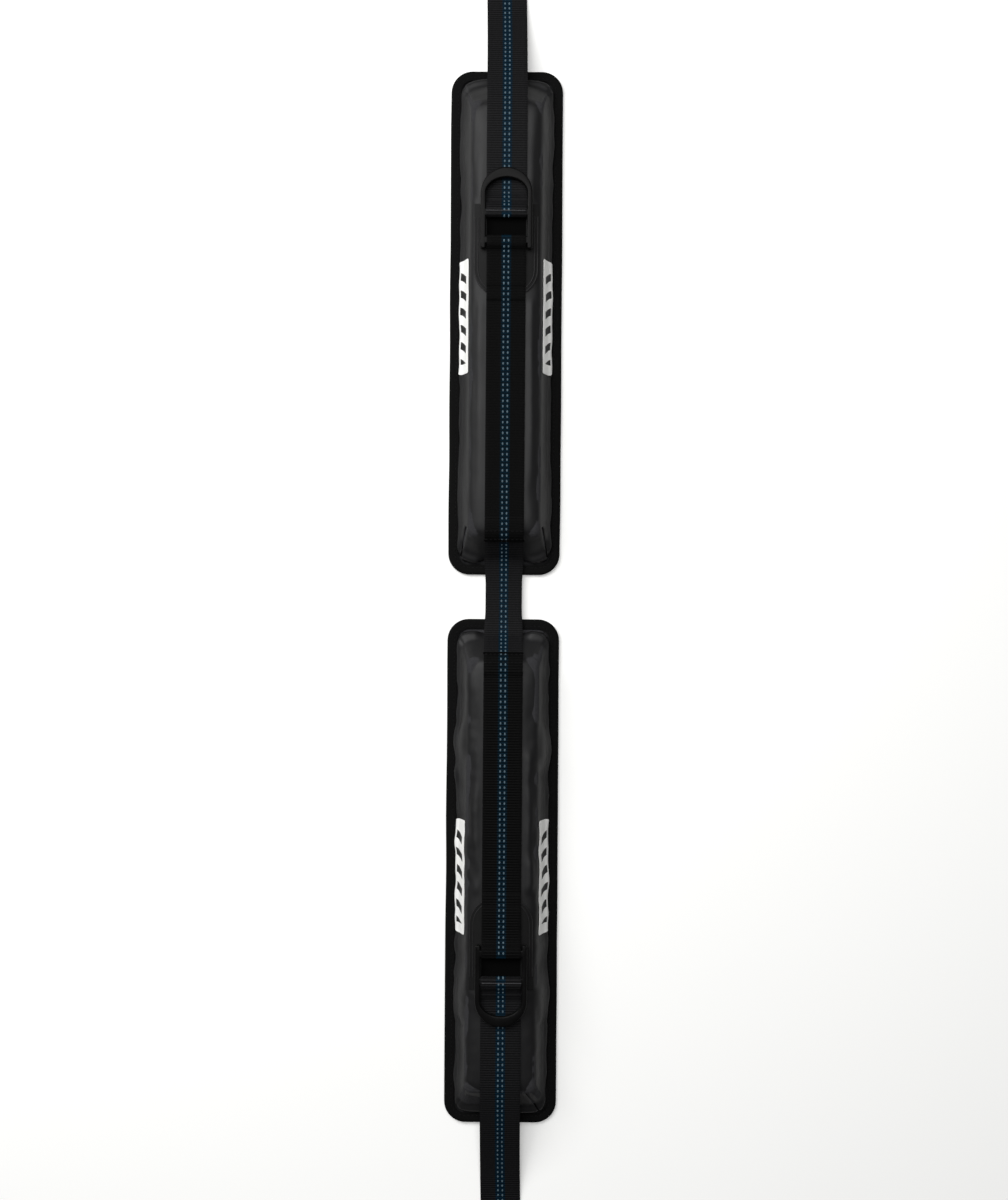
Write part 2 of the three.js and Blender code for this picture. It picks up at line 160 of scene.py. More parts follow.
def turn_round(piece):
    """Turns a piece of pad A by half a turn about the rack's middle, onto pad B."""
    piece.data.transform(Matrix.Rotation(math.pi, 4, "Z"))


# %% [markdown]
# Colours are written as sRGB hex values, as a paint chart gives them, and one function turns
# them to the linear values that the shader wants. One function adds a node with its settings
# and its links, so that each material reads as a short list of what the surface is made of. Two
# more mix two tones and stretch a value to another range, and the last gives a wave's scale.

# %% Helpers for materials
def linear(code):
    channels = [int(code[i : i + 2], 16) / 255 for i in (1, 3, 5)]
    return [c / 12.92 if c <= 0.04045 else ((c + 0.055) / 1.055) ** 2.4 for c in channels] + [1]


def add(tree, kind, links=None, **settings):
    node = tree.nodes.new(kind)
    for key, value in settings.items():
        if hasattr(node, key):
            setattr(node, key, value)
        else:
            node.inputs[key.replace("_", " ")].default_value = value
    for key, source in (links or {}).items():
        tree.links.new(source, node.inputs[key])
    return node


def two_tone(tree, factor, first, second):
    """Mixes two colours by a factor from 0 to 1."""
    mix = add(tree, "ShaderNodeMix", {"Factor": factor}, data_type="RGBA")
    mix.inputs["A"].default_value = linear(first)
    mix.inputs["B"].default_value = linear(second)
    return mix.outputs["Result"]


def remap(tree, value, to_low, to_high, from_low=0.0, from_high=1.0):
    """Stretches a value from one range to another, and stops at the ends."""
    stretch = add(tree, "ShaderNodeMapRange", {"Value": value}, From_Min=from_low, From_Max=from_high,
                  To_Min=to_low, To_Max=to_high)
    return stretch.outputs["Result"]


def wave_scale(pitch):
    """The scale at which a wave texture repeats once in each pitch."""
    return 2 * math.pi / pitch / 20


def new_material(name, colour, roughness, **sockets):
    material = bpy.data.materials.new(name)
    material.use_nodes = True
    tree = material.node_tree
    shader = tree.nodes["Principled BSDF"]
    shader.inputs["Base Color"].default_value = linear(colour)
    shader.inputs["Roughness"].default_value = roughness
    for key, value in sockets.items():
        shader.inputs[key.replace("_", " ")].default_value = value
    material.diffuse_color = linear(colour)
    return material, tree, shader


# %% [markdown]
# The covers are polyester cloth with a PVC coat, rolled smooth. That gives a satin surface: the
# steep walls catch the light as broad pale bands, and a very fine weave shows through the coat.
# The weave of the real cloth is about 0.6 mm, drawn at 1 mm so that it shows at all.

# %% Coated cloth
WEAVE_SCALE = 314.0


def coated_cloth(name, dark, light, roughness, shine):
    material, tree, shader = new_material(name, dark, roughness, IOR=1.5, Specular_IOR_Level=shine)
    place = add(tree, "ShaderNodeTexCoord").outputs["Object"]
    clouds = add(tree, "ShaderNodeTexNoise", {"Vector": place}, Scale=28.0, Detail=3.0)
    tree.links.new(two_tone(tree, clouds.outputs["Fac"], dark, light), shader.inputs["Base Color"])
    across = add(tree, "ShaderNodeTexWave", {"Vector": place}, bands_direction="X", Scale=WEAVE_SCALE)
    along = add(tree, "ShaderNodeTexWave", {"Vector": place}, bands_direction="Y", Scale=WEAVE_SCALE)
    weave = add(tree, "ShaderNodeMath", {0: across.outputs["Fac"], 1: along.outputs["Fac"]},
                operation="MULTIPLY")
    grain = add(tree, "ShaderNodeTexNoise", {"Vector": place}, Scale=900.0, Detail=2.0)
    relief = add(tree, "ShaderNodeMath", {0: weave.outputs[0], 1: grain.outputs["Fac"]}, operation="ADD")
    bump = add(tree, "ShaderNodeBump", {"Height": relief.outputs[0]}, Strength=0.12, Distance=0.0002)
    tree.links.new(bump.outputs["Normal"], shader.inputs["Normal"])
    spread = remap(tree, clouds.outputs["Fac"], roughness - 0.06, roughness + 0.08)
    tree.links.new(spread, shader.inputs["Roughness"])
    return material


cover_cloth = coated_cloth("PVC-coated polyester, calendered", "#131314", "#171718", 0.5, 0.28)
patch_cloth = coated_cloth("PVC-coated polyester, heavy", "#0e0e0e", "#131313", 0.6, 0.14)
print("coated cloths:", cover_cloth.name, "and", patch_cloth.name)

# %% [markdown]
# Webbing is woven on a narrow loom. On the pads it is a ribbed polypropylene band, and past the
# ring a smoother polyester one. Both carry a dyed band down the middle with two rows of pale
# yarn. Its colour is also painted lighter on each rib's top and darker between the ribs, as light
# and shade fall on them. The pattern follows the strip, so it is drawn in the strip's own map,
# which holds the distance along and across it in metres.

# %% Webbing cloth
TRACER_BAND = 9.4 * MM
BAND_EDGE = 0.5 * MM
WARP_PITCH = 1.2 * MM
RIB_PITCH = 2.6 * MM
STRAP_PITCH = 2.4 * MM


def webbing_cloth(name, colour, band, roughness, pitch):
    material, tree, shader = new_material(name, colour, roughness, IOR=1.45, Specular_IOR_Level=0.06)
    strip = add(tree, "ShaderNodeUVMap", uv_map="strip").outputs["UV"]
    parts = add(tree, "ShaderNodeSeparateXYZ", {"Vector": strip})
    side = add(tree, "ShaderNodeMath", {0: parts.outputs["Y"]}, operation="ABSOLUTE")
    inside = remap(tree, side.outputs[0], 1, 0, TRACER_BAND / 2 - BAND_EDGE, TRACER_BAND / 2 + BAND_EDGE)
    tone = two_tone(tree, inside, colour, band)
    fibres = add(tree, "ShaderNodeTexNoise", {"Vector": strip}, Scale=700.0, Detail=3.0)
    picks = add(tree, "ShaderNodeTexWave", {"Vector": strip}, bands_direction="X",
                Scale=wave_scale(pitch), Phase_Offset=math.pi / 2)
    ridge = add(tree, "ShaderNodeMath", {0: picks.outputs["Fac"], 1: fibres.outputs["Fac"]}, operation="ADD")
    # Painted highlight and shade: lighter on each rib's top and darker between ribs, on top of a random fibre
    # tone.
    painted_rib_shading = remap(tree, ridge.outputs[0], 0.2, 1.9, 0.3, 1.6)
    mixed = add(tree, "ShaderNodeVectorMath", {0: tone, "Scale": painted_rib_shading}, operation="SCALE")
    tree.links.new(mixed.outputs["Vector"], shader.inputs["Base Color"])
    ends = add(tree, "ShaderNodeTexWave", {"Vector": strip}, bands_direction="Y",
               Scale=wave_scale(WARP_PITCH))
    weave = add(tree, "ShaderNodeMath", {0: picks.outputs["Fac"], 1: ends.outputs["Fac"]},
                operation="MULTIPLY")
    relief = add(tree, "ShaderNodeMath", {0: weave.outputs[0], 1: fibres.outputs["Fac"]}, operation="ADD")
    bump = add(tree, "ShaderNodeBump", {"Height": relief.outputs[0]}, Strength=0.5, Distance=0.0003)
    tree.links.new(bump.outputs["Normal"], shader.inputs["Normal"])
    return material


ribbed_cloth = webbing_cloth("Polypropylene webbing, ribbed weave", "#070707", "#02131d", 0.7, RIB_PITCH)
smooth_cloth = webbing_cloth("Polyester webbing, plain weave", "#141415", "#041824", 0.6, STRAP_PITCH)
print("webbing cloths:", ribbed_cloth.name, "and", smooth_cloth.name)

# %% [markdown]
# The rest of the finishes are simpler. Binding tape and thread are dull black polyester with a fine
# weave. A grey thread is also painted highlight, and a near-black finish is painted shade. The ring
# is glass-filled nylon, moulded: a low gloss with the faint grain of the tool. The labels are a white
# print on cloth. The foam and the grip sheet are hidden from above.

# %% Tape, thread, yarn, nylon, print, foam and grip sheet
def woven_tape(name, colour, light, roughness, scale):
    material, tree, shader = new_material(name, colour, roughness, IOR=1.45, Specular_IOR_Level=0.1)
    place = add(tree, "ShaderNodeTexCoord").outputs["Object"]
    threads = add(tree, "ShaderNodeTexNoise", {"Vector": place}, Scale=scale, Detail=3.0)
    tree.links.new(two_tone(tree, threads.outputs["Fac"], colour, light), shader.inputs["Base Color"])
    bump = add(tree, "ShaderNodeBump", {"Height": threads.outputs["Fac"]}, Strength=0.4, Distance=0.0003)
    tree.links.new(bump.outputs["Normal"], shader.inputs["Normal"])
    return material


def moulded_nylon(name, colour, light):
    material, tree, shader = new_material(name, colour, 0.35, IOR=1.53, Specular_IOR_Level=0.06)
    place = add(tree, "ShaderNodeTexCoord").outputs["Object"]
    grain = add(tree, "ShaderNodeTexNoise", {"Vector": place}, Scale=1400.0, Detail=2.0)
    flow = add(tree, "ShaderNodeTexNoise", {"Vector": place}, Scale=60.0, Detail=2.0)
    tree.links.new(two_tone(tree, flow.outputs["Fac"], colour, light), shader.inputs["Base Color"])
    tree.links.new(remap(tree, flow.outputs["Fac"], 0.28, 0.4), shader.inputs["Roughness"])
    bump = add(tree, "ShaderNodeBump", {"Height": grain.outputs["Fac"]}, Strength=0.1, Distance=0.0001)
    tree.links.new(bump.outputs["Normal"], shader.inputs["Normal"])
    return material


binding_cloth = woven_tape("Polyester tape, grosgrain weave", "#040404", "#0e0e0e", 0.8, 700.0)
# Painted shade: a near-black finish for the ring's slot, the cut edge at the cross seam and the dart slits.
painted_shade_cloth = woven_tape("Painted shade, dull black", "#010101", "#020202", 0.95, 700.0)
seam_thread = woven_tape("Bonded polyester thread, black", "#0a0a0a", "#161617", 0.6, 2500.0)
# Grey thread that is also painted highlight: its row stands for the light where the strap bends over the
# ring's bar.
grey_highlight_thread = woven_tape("Grey polyester thread, with painted highlight", "#3a3a3c", "#4a4a4c", 0.6, 2500.0)
tracer_yarn = woven_tape("Polyester yarn, dyed sky blue", "#4b5d67", "#5e707a", 0.7, 2500.0)
cell_foam = woven_tape("Polyethylene foam, closed cell", "#2c2c2e", "#3a3a3c", 0.9, 500.0)
grip_sheet = woven_tape("Rubber mesh, non-slip", "#171718", "#262627", 0.85, 320.0)
ring_nylon = moulded_nylon("Glass-filled nylon, moulded", "#080808", "#0e0e0e")

# %% [markdown]
# The labels are white, with a plain pattern of slanted black bars printed on them. The pattern
# reads the label's own map, which holds its height and its length in metres.

# %% Label print
BAR_PITCH = 17 * MM
BAR_SLANT = 0.45
BAR_REACH = 6.5 * MM
BARS_END = 46 * MM
BAR_THRESHOLD = 0.2


def label_print(name, ground, ink):
    material, tree, shader = new_material(name, ground, 0.5, IOR=1.45, Specular_IOR_Level=0.3)
    strip = add(tree, "ShaderNodeUVMap", uv_map="strip").outputs["UV"]
    parts = add(tree, "ShaderNodeSeparateXYZ", {"Vector": strip})
    slanted = add(tree, "ShaderNodeMath", {0: parts.outputs["X"], 2: parts.outputs["Y"]},
                  operation="MULTIPLY_ADD")
    slanted.inputs[1].default_value = BAR_SLANT
    turned = add(tree, "ShaderNodeMath", {0: slanted.outputs[0]}, operation="MULTIPLY")
    turned.inputs[1].default_value = 2 * math.pi / BAR_PITCH
    wave = add(tree, "ShaderNodeMath", {0: turned.outputs[0]}, operation="SINE")
    inked = add(tree, "ShaderNodeMath", {0: wave.outputs[0]}, operation="GREATER_THAN")
    inked.inputs[1].default_value = BAR_THRESHOLD
    for axis, reach in (("X", BAR_REACH), ("Y", BARS_END)):
        away = add(tree, "ShaderNodeMath", {0: parts.outputs[axis]}, operation="ABSOLUTE")
        within = add(tree, "ShaderNodeMath", {0: away.outputs[0]}, operation="LESS_THAN")
        within.inputs[1].default_value = reach
        inked = add(tree, "ShaderNodeMath", {0: inked.outputs[0], 1: within.outputs[0]}, operation="MULTIPLY")
    tree.links.new(two_tone(tree, inked.outputs[0], ground, ink), shader.inputs["Base Color"])
    return material


white_print = label_print("White plastisol print on cloth", "#f6f6f4", "#101010")

# %% [markdown]
# The pad's top line is needed by everything that lies on it. The same rows as in the solid
# model give it: up the wall, round the shoulder and in over the crown.

# %% Height of the cover
SHOULDER_STEPS = 4
CROWN_STEPS = 3


def skin_rows():
    """Each row: its height, and how far it lies in from the foot at the sides and at the ends."""
    rows = [(FLANGE_TOP, 0.0, 0.0), (WALL_HEIGHT, SIDE_WALL_RUN, END_WALL_RUN)]
    for i in range(1, SHOULDER_STEPS + 1):
        turn = i / SHOULDER_STEPS * math.pi / 2
        rows.append((
            WALL_HEIGHT + (SHOULDER_HEIGHT - WALL_HEIGHT) * math.sin(turn),
            SIDE_WALL_RUN + SIDE_SHOULDER_RUN * (1 - math.cos(turn)),
            END_WALL_RUN + END_SHOULDER_RUN * (1 - math.cos(turn)),
        ))
    for i in range(1, CROWN_STEPS + 1):
        share = i / CROWN_STEPS
        rows.append((
            SHOULDER_HEIGHT + (TOP_HEIGHT - SHOULDER_HEIGHT) * (1 - (1 - share) ** 2),
            SIDE_WALL_RUN + SIDE_SHOULDER_RUN + SIDE_CROWN_RUN * share,
            END_WALL_RUN + END_SHOULDER_RUN + END_CROWN_RUN * share,
        ))
    return rows


ROWS = skin_rows()


def height_at(inset, column):
    for low, high in zip(ROWS, ROWS[1:]):
        if inset <= high[column]:
            share = (inset - low[column]) / (high[column] - low[column])
            return low[0] + (high[0] - low[0]) * share
    return TOP_HEIGHT


def top_along(y):
    return height_at(WALL_HALF_LENGTH - abs(y - PAD_MIDDLE), 2)


def top_across(x):
    return height_at(WALL_HALF_WIDTH - abs(x), 1)


print("cover rows:", [tuple(round(v / MM, 1) for v in row) for row in ROWS])

# %% [markdown]
# A rounded sheet is the start of the pad, its binding, the patch and the labels. It is a plane
# whose corner points are bevelled, which gives true arcs. The long edges are then divided, so
# that the sheet can bend.

# %% A rounded sheet
def all_round(radius):
    return {(x, y): radius for x in (-1, 1) for y in (-1, 1)}


def rounded_sheet(half_width, half_length, radii, corner_steps=8, cuts_along=0):
    clear()
    bpy.ops.mesh.primitive_plane_add(size=2)
    sheet = bpy.context.object
    bpy.ops.object.mode_set(mode="EDIT")
    bpy.ops.transform.resize(value=(half_width, half_length, 1))
    for (x, y), radius in radii.items():
        pick("VERT", lambda v: v.co.y * y > half_length - TOUCH / 4 and v.co.x * x > half_width - TOUCH / 4)
        bpy.ops.mesh.bevel(offset=radius, segments=corner_steps, affect="VERTICES",
                           offset_type="OFFSET", clamp_overlap=False)
    if cuts_along:
        pick("EDGE", lambda e: abs(e.verts[0].co.y - e.verts[1].co.y) > half_length)
        bpy.ops.mesh.subdivide(number_cuts=cuts_along)
    return sheet


# %% [markdown]
# The pad's body is a rounded sheet that is extruded up and drawn in at each row: a steep wall at
# the sides, a gentler one at the ends, a round shoulder and a low crown. Extruding and scaling
# is how a tapered block is made by hand.

# %% The pad's plain body
BODY_MARGIN = 0.2 * MM


def plain_body(side):
    width = WALL_HALF_WIDTH - BODY_MARGIN
    length = WALL_HALF_LENGTH - BODY_MARGIN
    height = FLANGE_TOP - TAPE
    sheet = rounded_sheet(width, length, all_round(CORNER_RADIUS - WALL_INSET))
    bpy.ops.mesh.select_all(action="SELECT")
    bpy.ops.transform.translate(value=(0, 0, height))
    for z, side_run, end_run in ROWS[1:]:
        pick("FACE", lambda f: f.calc_center_median().z > height - TOUCH and abs(f.normal.z) > 0.9)
        bpy.ops.mesh.extrude_region_move(TRANSFORM_OT_translate={"value": (0, 0, z - BODY_MARGIN - height)})
        new_width = WALL_HALF_WIDTH - BODY_MARGIN - side_run
        new_length = WALL_HALF_LENGTH - BODY_MARGIN - end_run
        bpy.ops.transform.resize(value=(new_width / width, new_length / length, 1),
                                 center_override=(0, 0, 0))
        width, length, height = new_width, new_length, z - BODY_MARGIN
    face_outward()
    bpy.ops.transform.translate(value=(0, side * PAD_MIDDLE, 0))
    bpy.ops.object.mode_set(mode="OBJECT")
    return sheet


# %% [markdown]
# Real cloth over foam isn't flat. It swells between the places where it is sewn down. So the
# body is remeshed to even squares, smoothed, and blown up a little as cloth, while its foot is
# held. A cloth that is cut a little too large puckers: the second pad's cover is looser, and its
# walls ripple. What the cloth does is then evened out between neighbours, capped, and faded to
# nothing under the webbing and the ring's patch, which press the cover flat on its foam. The
# remeshed squares leave steps, so the body is smoothed, and its upper part, where the light shows
# each step, is smoothed for longer.

# %% Cloth over the foam
VOXEL = 4 * MM
SWELL_CAP = 2.4 * MM
SINK_CAP = 0.4 * MM
FRAMES = 20
CROWN_START = 27 * MM
HELD_HEIGHT = 1.5 * MM
FOOT_FADE = 4 * MM
PATCH_FADE = 6 * MM
PRESS_FADE = 9 * MM
STRAP_LEAVES = PAD_MIDDLE + WALL_HALF_LENGTH - END_WALL_RUN - END_SHOULDER_RUN
CLOTH = {
    "quality": 6,
    "mass": 0.3,
    "use_pressure": True,
    "uniform_pressure_force": 4,
    "tension_stiffness": 25,
    "compression_stiffness": 25,
    "shear_stiffness": 12,
    "bending_stiffness": 0.3,
}


def ramp(value, start, stop):
    """Rises smoothly from 0 at the start to 1 at the stop."""
    share = max(0.0, min(1.0, (value - start) / (stop - start)))
    return share * share * (3 - 2 * share)


def beside_webbing(point):
    """0 where a webbing is sewn onto the cover, 1 away from it and where the strap hangs free."""
    return max(ramp(abs(point.x), CROWN_HALF_WIDTH - 1 * MM, CROWN_HALF_WIDTH + PRESS_FADE),
               ramp(abs(point.y), STRAP_LEAVES - 6 * MM, STRAP_LEAVES + 10 * MM))


def freedom(point):
    """How freely the cover swells: not at its foot, under the webbing or under the patch."""
    x, y = abs(point.x), abs(point.y)
    off_foot = ramp(point.z, FLANGE_TOP, FLANGE_TOP + FOOT_FADE)
    off_patch = max(ramp(x, patch_high[0] - 1 * MM, patch_high[0] + PATCH_FADE),
                    ramp(patch_low[1] - y, 0, PRESS_FADE), ramp(y - patch_high[1], 0, PRESS_FADE))
    return off_foot * off_patch * beside_webbing(point)


def evened(values, edges, rounds):
    """Each value becomes the mean of itself and its neighbours, a few times over."""
    for _ in range(rounds):
        totals = list(values)
        counts = [1] * len(values)
        for a, b in edges:
            totals[a] += values[b]
            totals[b] += values[a]
            counts[a] += 1
            counts[b] += 1
        values = [total / count for total, count in zip(totals, counts)]
    return values


def swell(body, looseness, rounds):
    """Blows the cover up as cloth, then keeps an evened and capped share of what it does."""
    before = [v.co.copy() for v in body.data.vertices]
    normals = [v.normal.copy() for v in body.data.vertices]
    edges = [tuple(e.vertices) for e in body.data.edges]
    held = body.vertex_groups.new(name="held")
    for i, point in enumerate(before):
        if point.z < FLANGE_TOP + HELD_HEIGHT:
            held.add([i], 1.0, "REPLACE")
    choose(body)
    cloth = body.modifiers.new("Cloth", "CLOTH")
    for key, value in CLOTH.items():
        setattr(cloth.settings, key, value)
    cloth.settings.vertex_group_mass = held.name
    cloth.settings.shrink_min = -looseness
    cloth.settings.effector_weights.gravity = 0
    cloth.collision_settings.use_collision = False
    cloth.point_cache.frame_start = 1
    cloth.point_cache.frame_end = FRAMES
    for number in range(1, FRAMES + 1):
        bpy.context.scene.frame_set(number)
    bpy.ops.object.modifier_apply(modifier="Cloth")
    bpy.context.scene.frame_set(1)
    moves = [(v.co - place).dot(normal) for v, place, normal in zip(body.data.vertices, before, normals)]
    levels = [max(-SINK_CAP, min(SWELL_CAP, move)) for move in evened(moves, edges, rounds)]
    for vertex, place, normal, level in zip(body.data.vertices, before, normals, levels):
        vertex.co = place + normal * level * freedom(place)
    body.vertex_groups.clear()
    print(body.name, "swells by up to", round(max(levels) / MM, 2), "mm")


def cover(name, side, looseness, rounds):
    body = plain_body(side)
    body.name = name
    finish_with(body, "REMESH", mode="VOXEL", voxel_size=VOXEL, use_smooth_shade=True)
    finish_with(body, "SMOOTH", factor=0.5, iterations=3)
    upper = body.vertex_groups.new(name="upper")
    upper.add([v.index for v in body.data.vertices if v.co.z > CROWN_START], 1.0, "REPLACE")
    finish_with(body, "SMOOTH", factor=0.5, iterations=9, vertex_group=upper.name)
    swell(body, looseness, rounds)
    finish_with(body, "SUBSURF", levels=2, render_levels=2)
    sew_down(body, side, looseness)
    settle(body, name, cover_cloth, smooth=80)
    return body


# %% [markdown]
# After the swelling come the marks of sewing. Each box corner is closed by a dart, a seam that
# runs from the corner of the crown down to the foot. Three of the darts are pulled open into
# slits. Each dart is given by its tip and its foot, in millimetres in from the wall's foot, and
# its depth. The cover also has shallow creases that run down its walls, more of them on the
# looser pad. They are noise, stretched along the height of the wall. At its foot the cloth rolls
# out a little over the binding, where the seam holds it down.

# %% Seams and creases of the cover
CLOSED_DART = ((12, 33), (3, 4.5), 0.7)
OPEN_DARTS = {
    (1, -1, -1): ((8, 36), (2.5, 4.5), 2.2),
    (1, 1, -1): ((8, 36), (2.5, 4.5), 2.2),
    (-1, 1, 1): ((21, 28), (6, 2.5), 1.9),
}
FOOT_ROLL = 2.3 * MM
END_ROLL = 1.2
ROLL_HEIGHT = 9 * MM
ROLL_SPREAD = 3.6 * MM
DART_WIDTH = 1.2 * MM
DART_SWELL = 4 * MM
DART_LIP = 0.35
CREASE_DEPTH = 0.5 * MM
CREASE_LEAST = 0.3
CREASE_BY_LOOSENESS = 34
RIPPLE_SCALE = (25, 48, 18)
FINE_SCALE = (60, 110, 40)
FINE_SHARE = 0.4
ROLL_RIPPLE = 0.6


def noise_at(point, scale, shift):
    """Smooth noise at a point, stretched by the scale along each axis."""
    return noise.noise(Vector((point.x * scale[0], point.y * scale[1], point.z * scale[2] + shift)))


def dart_at(side, x_sign, outer):
    """The dart's tip and foot in plan, and its depth, for one box corner of one pad."""
    tip, foot, depth = OPEN_DARTS.get((side, x_sign, outer), CLOSED_DART)
    corner = Vector((WALL_HALF_WIDTH, WALL_HALF_LENGTH))
    ends = [corner - Vector(inset) * MM for inset in (tip, foot)]
    return [Vector((x_sign * p.x, side * PAD_MIDDLE + side * outer * p.y)) for p in ends] + [depth * MM]


def dart_groove(point, side):
    """How deep the nearest dart draws the cover in, seen in plan."""
    x_sign = 1 if point.x > 0 else -1
    outer = 1 if (point.y - side * PAD_MIDDLE) * side > 0 else -1
    tip, foot, depth = dart_at(side, x_sign, outer)
    along = tip - foot
    spot = Vector((point.x, point.y)) - foot
    share = max(0.0, min(1.0, spot.dot(along) / along.length_squared))
    near = (spot - along * share).length
    lip = DART_LIP * math.exp(-((near / DART_SWELL) ** 2))
    return depth * (math.exp(-((near / DART_WIDTH) ** 2)) - lip)


def sew_down(body, side, looseness):
    """Adds the darts, the creases and the roll at the foot."""
    places = [(v.co.copy(), v.normal.copy()) for v in body.data.vertices]
    deepest = CREASE_DEPTH * (CREASE_LEAST + CREASE_BY_LOOSENESS * looseness)
    for vertex, (point, normal) in zip(body.data.vertices, places):
        ripple = noise_at(point, RIPPLE_SCALE, 7 * side)
        fine = noise_at(point, FINE_SCALE, 3 * side)
        crease = deepest * (ripple + FINE_SHARE * fine) * freedom(point)
        roll = FOOT_ROLL * math.exp(-(((point.z - ROLL_HEIGHT) / ROLL_SPREAD) ** 2))
        roll *= (1 + ROLL_RIPPLE * ripple + END_ROLL * abs(normal.y)) * beside_webbing(point)
        vertex.co = point + normal * (crease + roll - dart_groove(point, side))


covers = {"a": cover("cover_a", 1, 0.01, 10), "b": cover("cover_b", -1, 0.05, 4)}
for letter, piece in covers.items():
    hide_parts(f"pad_{letter}_top_cover")
    print(piece.name, "has", len(piece.data.polygons), "faces")

# %% [markdown]
# The binding is a tape folded round the sewn edge. It starts as a rounded sheet whose middle is
# cut out, which leaves the lower leaf. A copy, raised, is the upper leaf, and a bridge between
# them is bulged into the fold. A Solidify modifier then gives the tape its thickness on the
# inside. Last, the edge is made to wave a little, in and out and up and down.

# %% Edge binding
TAPE_FOLD = 1.5 * MM
LEAF_ROWS = 4
FOLD_ROWS = 5
EDGE_WAVE = 0.5 * MM
EDGE_RIPPLE = 0.25 * MM


def edge_binding(side):
    half_width = PAD_HALF_WIDTH - TAPE_FOLD
    half_length = PAD_HALF_LENGTH - TAPE_FOLD
    radius = CORNER_RADIUS - TAPE_FOLD
    tape = rounded_sheet(half_width, half_length, all_round(radius), 10, 60)
    bpy.ops.mesh.select_all(action="SELECT")
    leaf = (BINDING_WIDTH - TAPE_FOLD) / LEAF_ROWS
    for _ in range(LEAF_ROWS):
        bpy.ops.mesh.inset(thickness=leaf, use_boundary=True, use_even_offset=True)
    bpy.ops.mesh.delete(type="FACE")
    bpy.ops.mesh.select_all(action="SELECT")
    bpy.ops.mesh.duplicate_move(TRANSFORM_OT_translate={"value": (0, 0, EDGE_HEIGHT)})

    def on_rim(point):
        x = abs(point.co.x) - half_width + radius
        y = abs(point.co.y) - half_length + radius
        reach = math.hypot(x, y) if x > 0 and y > 0 else max(x, y)
        return reach > radius - leaf / 4

    pick("VERT", on_rim)
    bpy.ops.mesh.bridge_edge_loops(number_cuts=FOLD_ROWS)
    face_outward()
    bpy.ops.transform.translate(value=(0, side * PAD_MIDDLE, 0))
    bpy.ops.object.mode_set(mode="OBJECT")
    outward = [v.normal.copy() for v in tape.data.vertices]
    for vertex, normal in zip(tape.data.vertices, outward):
        level = 2 * vertex.co.z / EDGE_HEIGHT - 1
        if abs(level) < 0.999:
            vertex.co += normal * TAPE_FOLD * math.sqrt(1 - level * level)
    return tape


def wave_edge(tape, side):
    for vertex in tape.data.vertices:
        point = vertex.co
        swing = noise_at(point, (9, 14, 0), 5 + side)
        small = noise_at(point, (60, 60, 0), 9 + side)
        outward = Vector((point.x / PAD_HALF_WIDTH, 0, 0))
        lift = max(0.0, point.z) / EDGE_HEIGHT
        vertex.co += outward * swing * EDGE_WAVE + Vector((0, 0, EDGE_RIPPLE * small * lift))


for letter, side in SIDES.items():
    tape = edge_binding(side)
    finish_with(tape, "SOLIDIFY", thickness=TAPE, offset=-1, use_even_offset=True)
    wave_edge(tape, side)
    settle(tape, f"binding_{letter}", binding_cloth, smooth=60)
    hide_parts(f"pad_{letter}_edge_binding")
    low = [min(v.co[i] for v in tape.data.vertices) for i in range(3)]
    high = [max(v.co[i] for v in tape.data.vertices) for i in range(3)]
    print(tape.name, [round(v / MM, 1) for v in low], [round(v / MM, 1) for v in high])

# %% [markdown]
# A webbing strip is modelled flat, as it comes off the loom: a grid with a Solidify modifier,
# its edges thinned and its ribs raised point by point. Then it is laid along its route. A route
# is a line in the plane along the pad, and each point of the flat strip goes to its distance
# along that line and its height above it.

# %% Routes
def over_cover(start, stop, lift, step=1.25 * MM):
    count = max(2, math.ceil(abs(stop - start) / step))
    probe = 0.5 * MM
    points = []
    for i in range(count + 1):
        y = start + (stop - start) * i / count
        rise = top_along(y + probe) - top_along(y - probe)
        length = math.hypot(2 * probe, rise)
        points.append(Vector((y - rise / length * lift, top_along(y) + 2 * probe / length * lift)))
    return points


def arc(centre, radius, start, stop, steps=8):
    turns = [math.radians(start + (stop - start) * i / steps) for i in range(steps + 1)]
    return [Vector((centre[0] + radius * math.cos(t), centre[1] + radius * math.sin(t))) for t in turns]


def curve(a, b, c, d, steps=24):
    points = []
    for i in range(steps + 1):
        t = i / steps
        weights = ((1 - t) ** 3, 3 * t * (1 - t) ** 2, 3 * t * t * (1 - t), t**3)
        points.append(sum((p * w for p, w in zip((a, b, c, d), weights)), Vector((0, 0))))
    return points


def eased(points, rounds=2):
    """Rounds the corners of a route by cutting each one twice."""
    for _ in range(rounds):
        cut = [points[0]]
        for a, b in zip(points, points[1:]):
            if (b - a).length > 1 * MM:
                cut += [a.lerp(b, 0.25), a.lerp(b, 0.75)]
            else:
                cut.append((a + b) / 2)
        points = cut + [points[-1]]
    return points


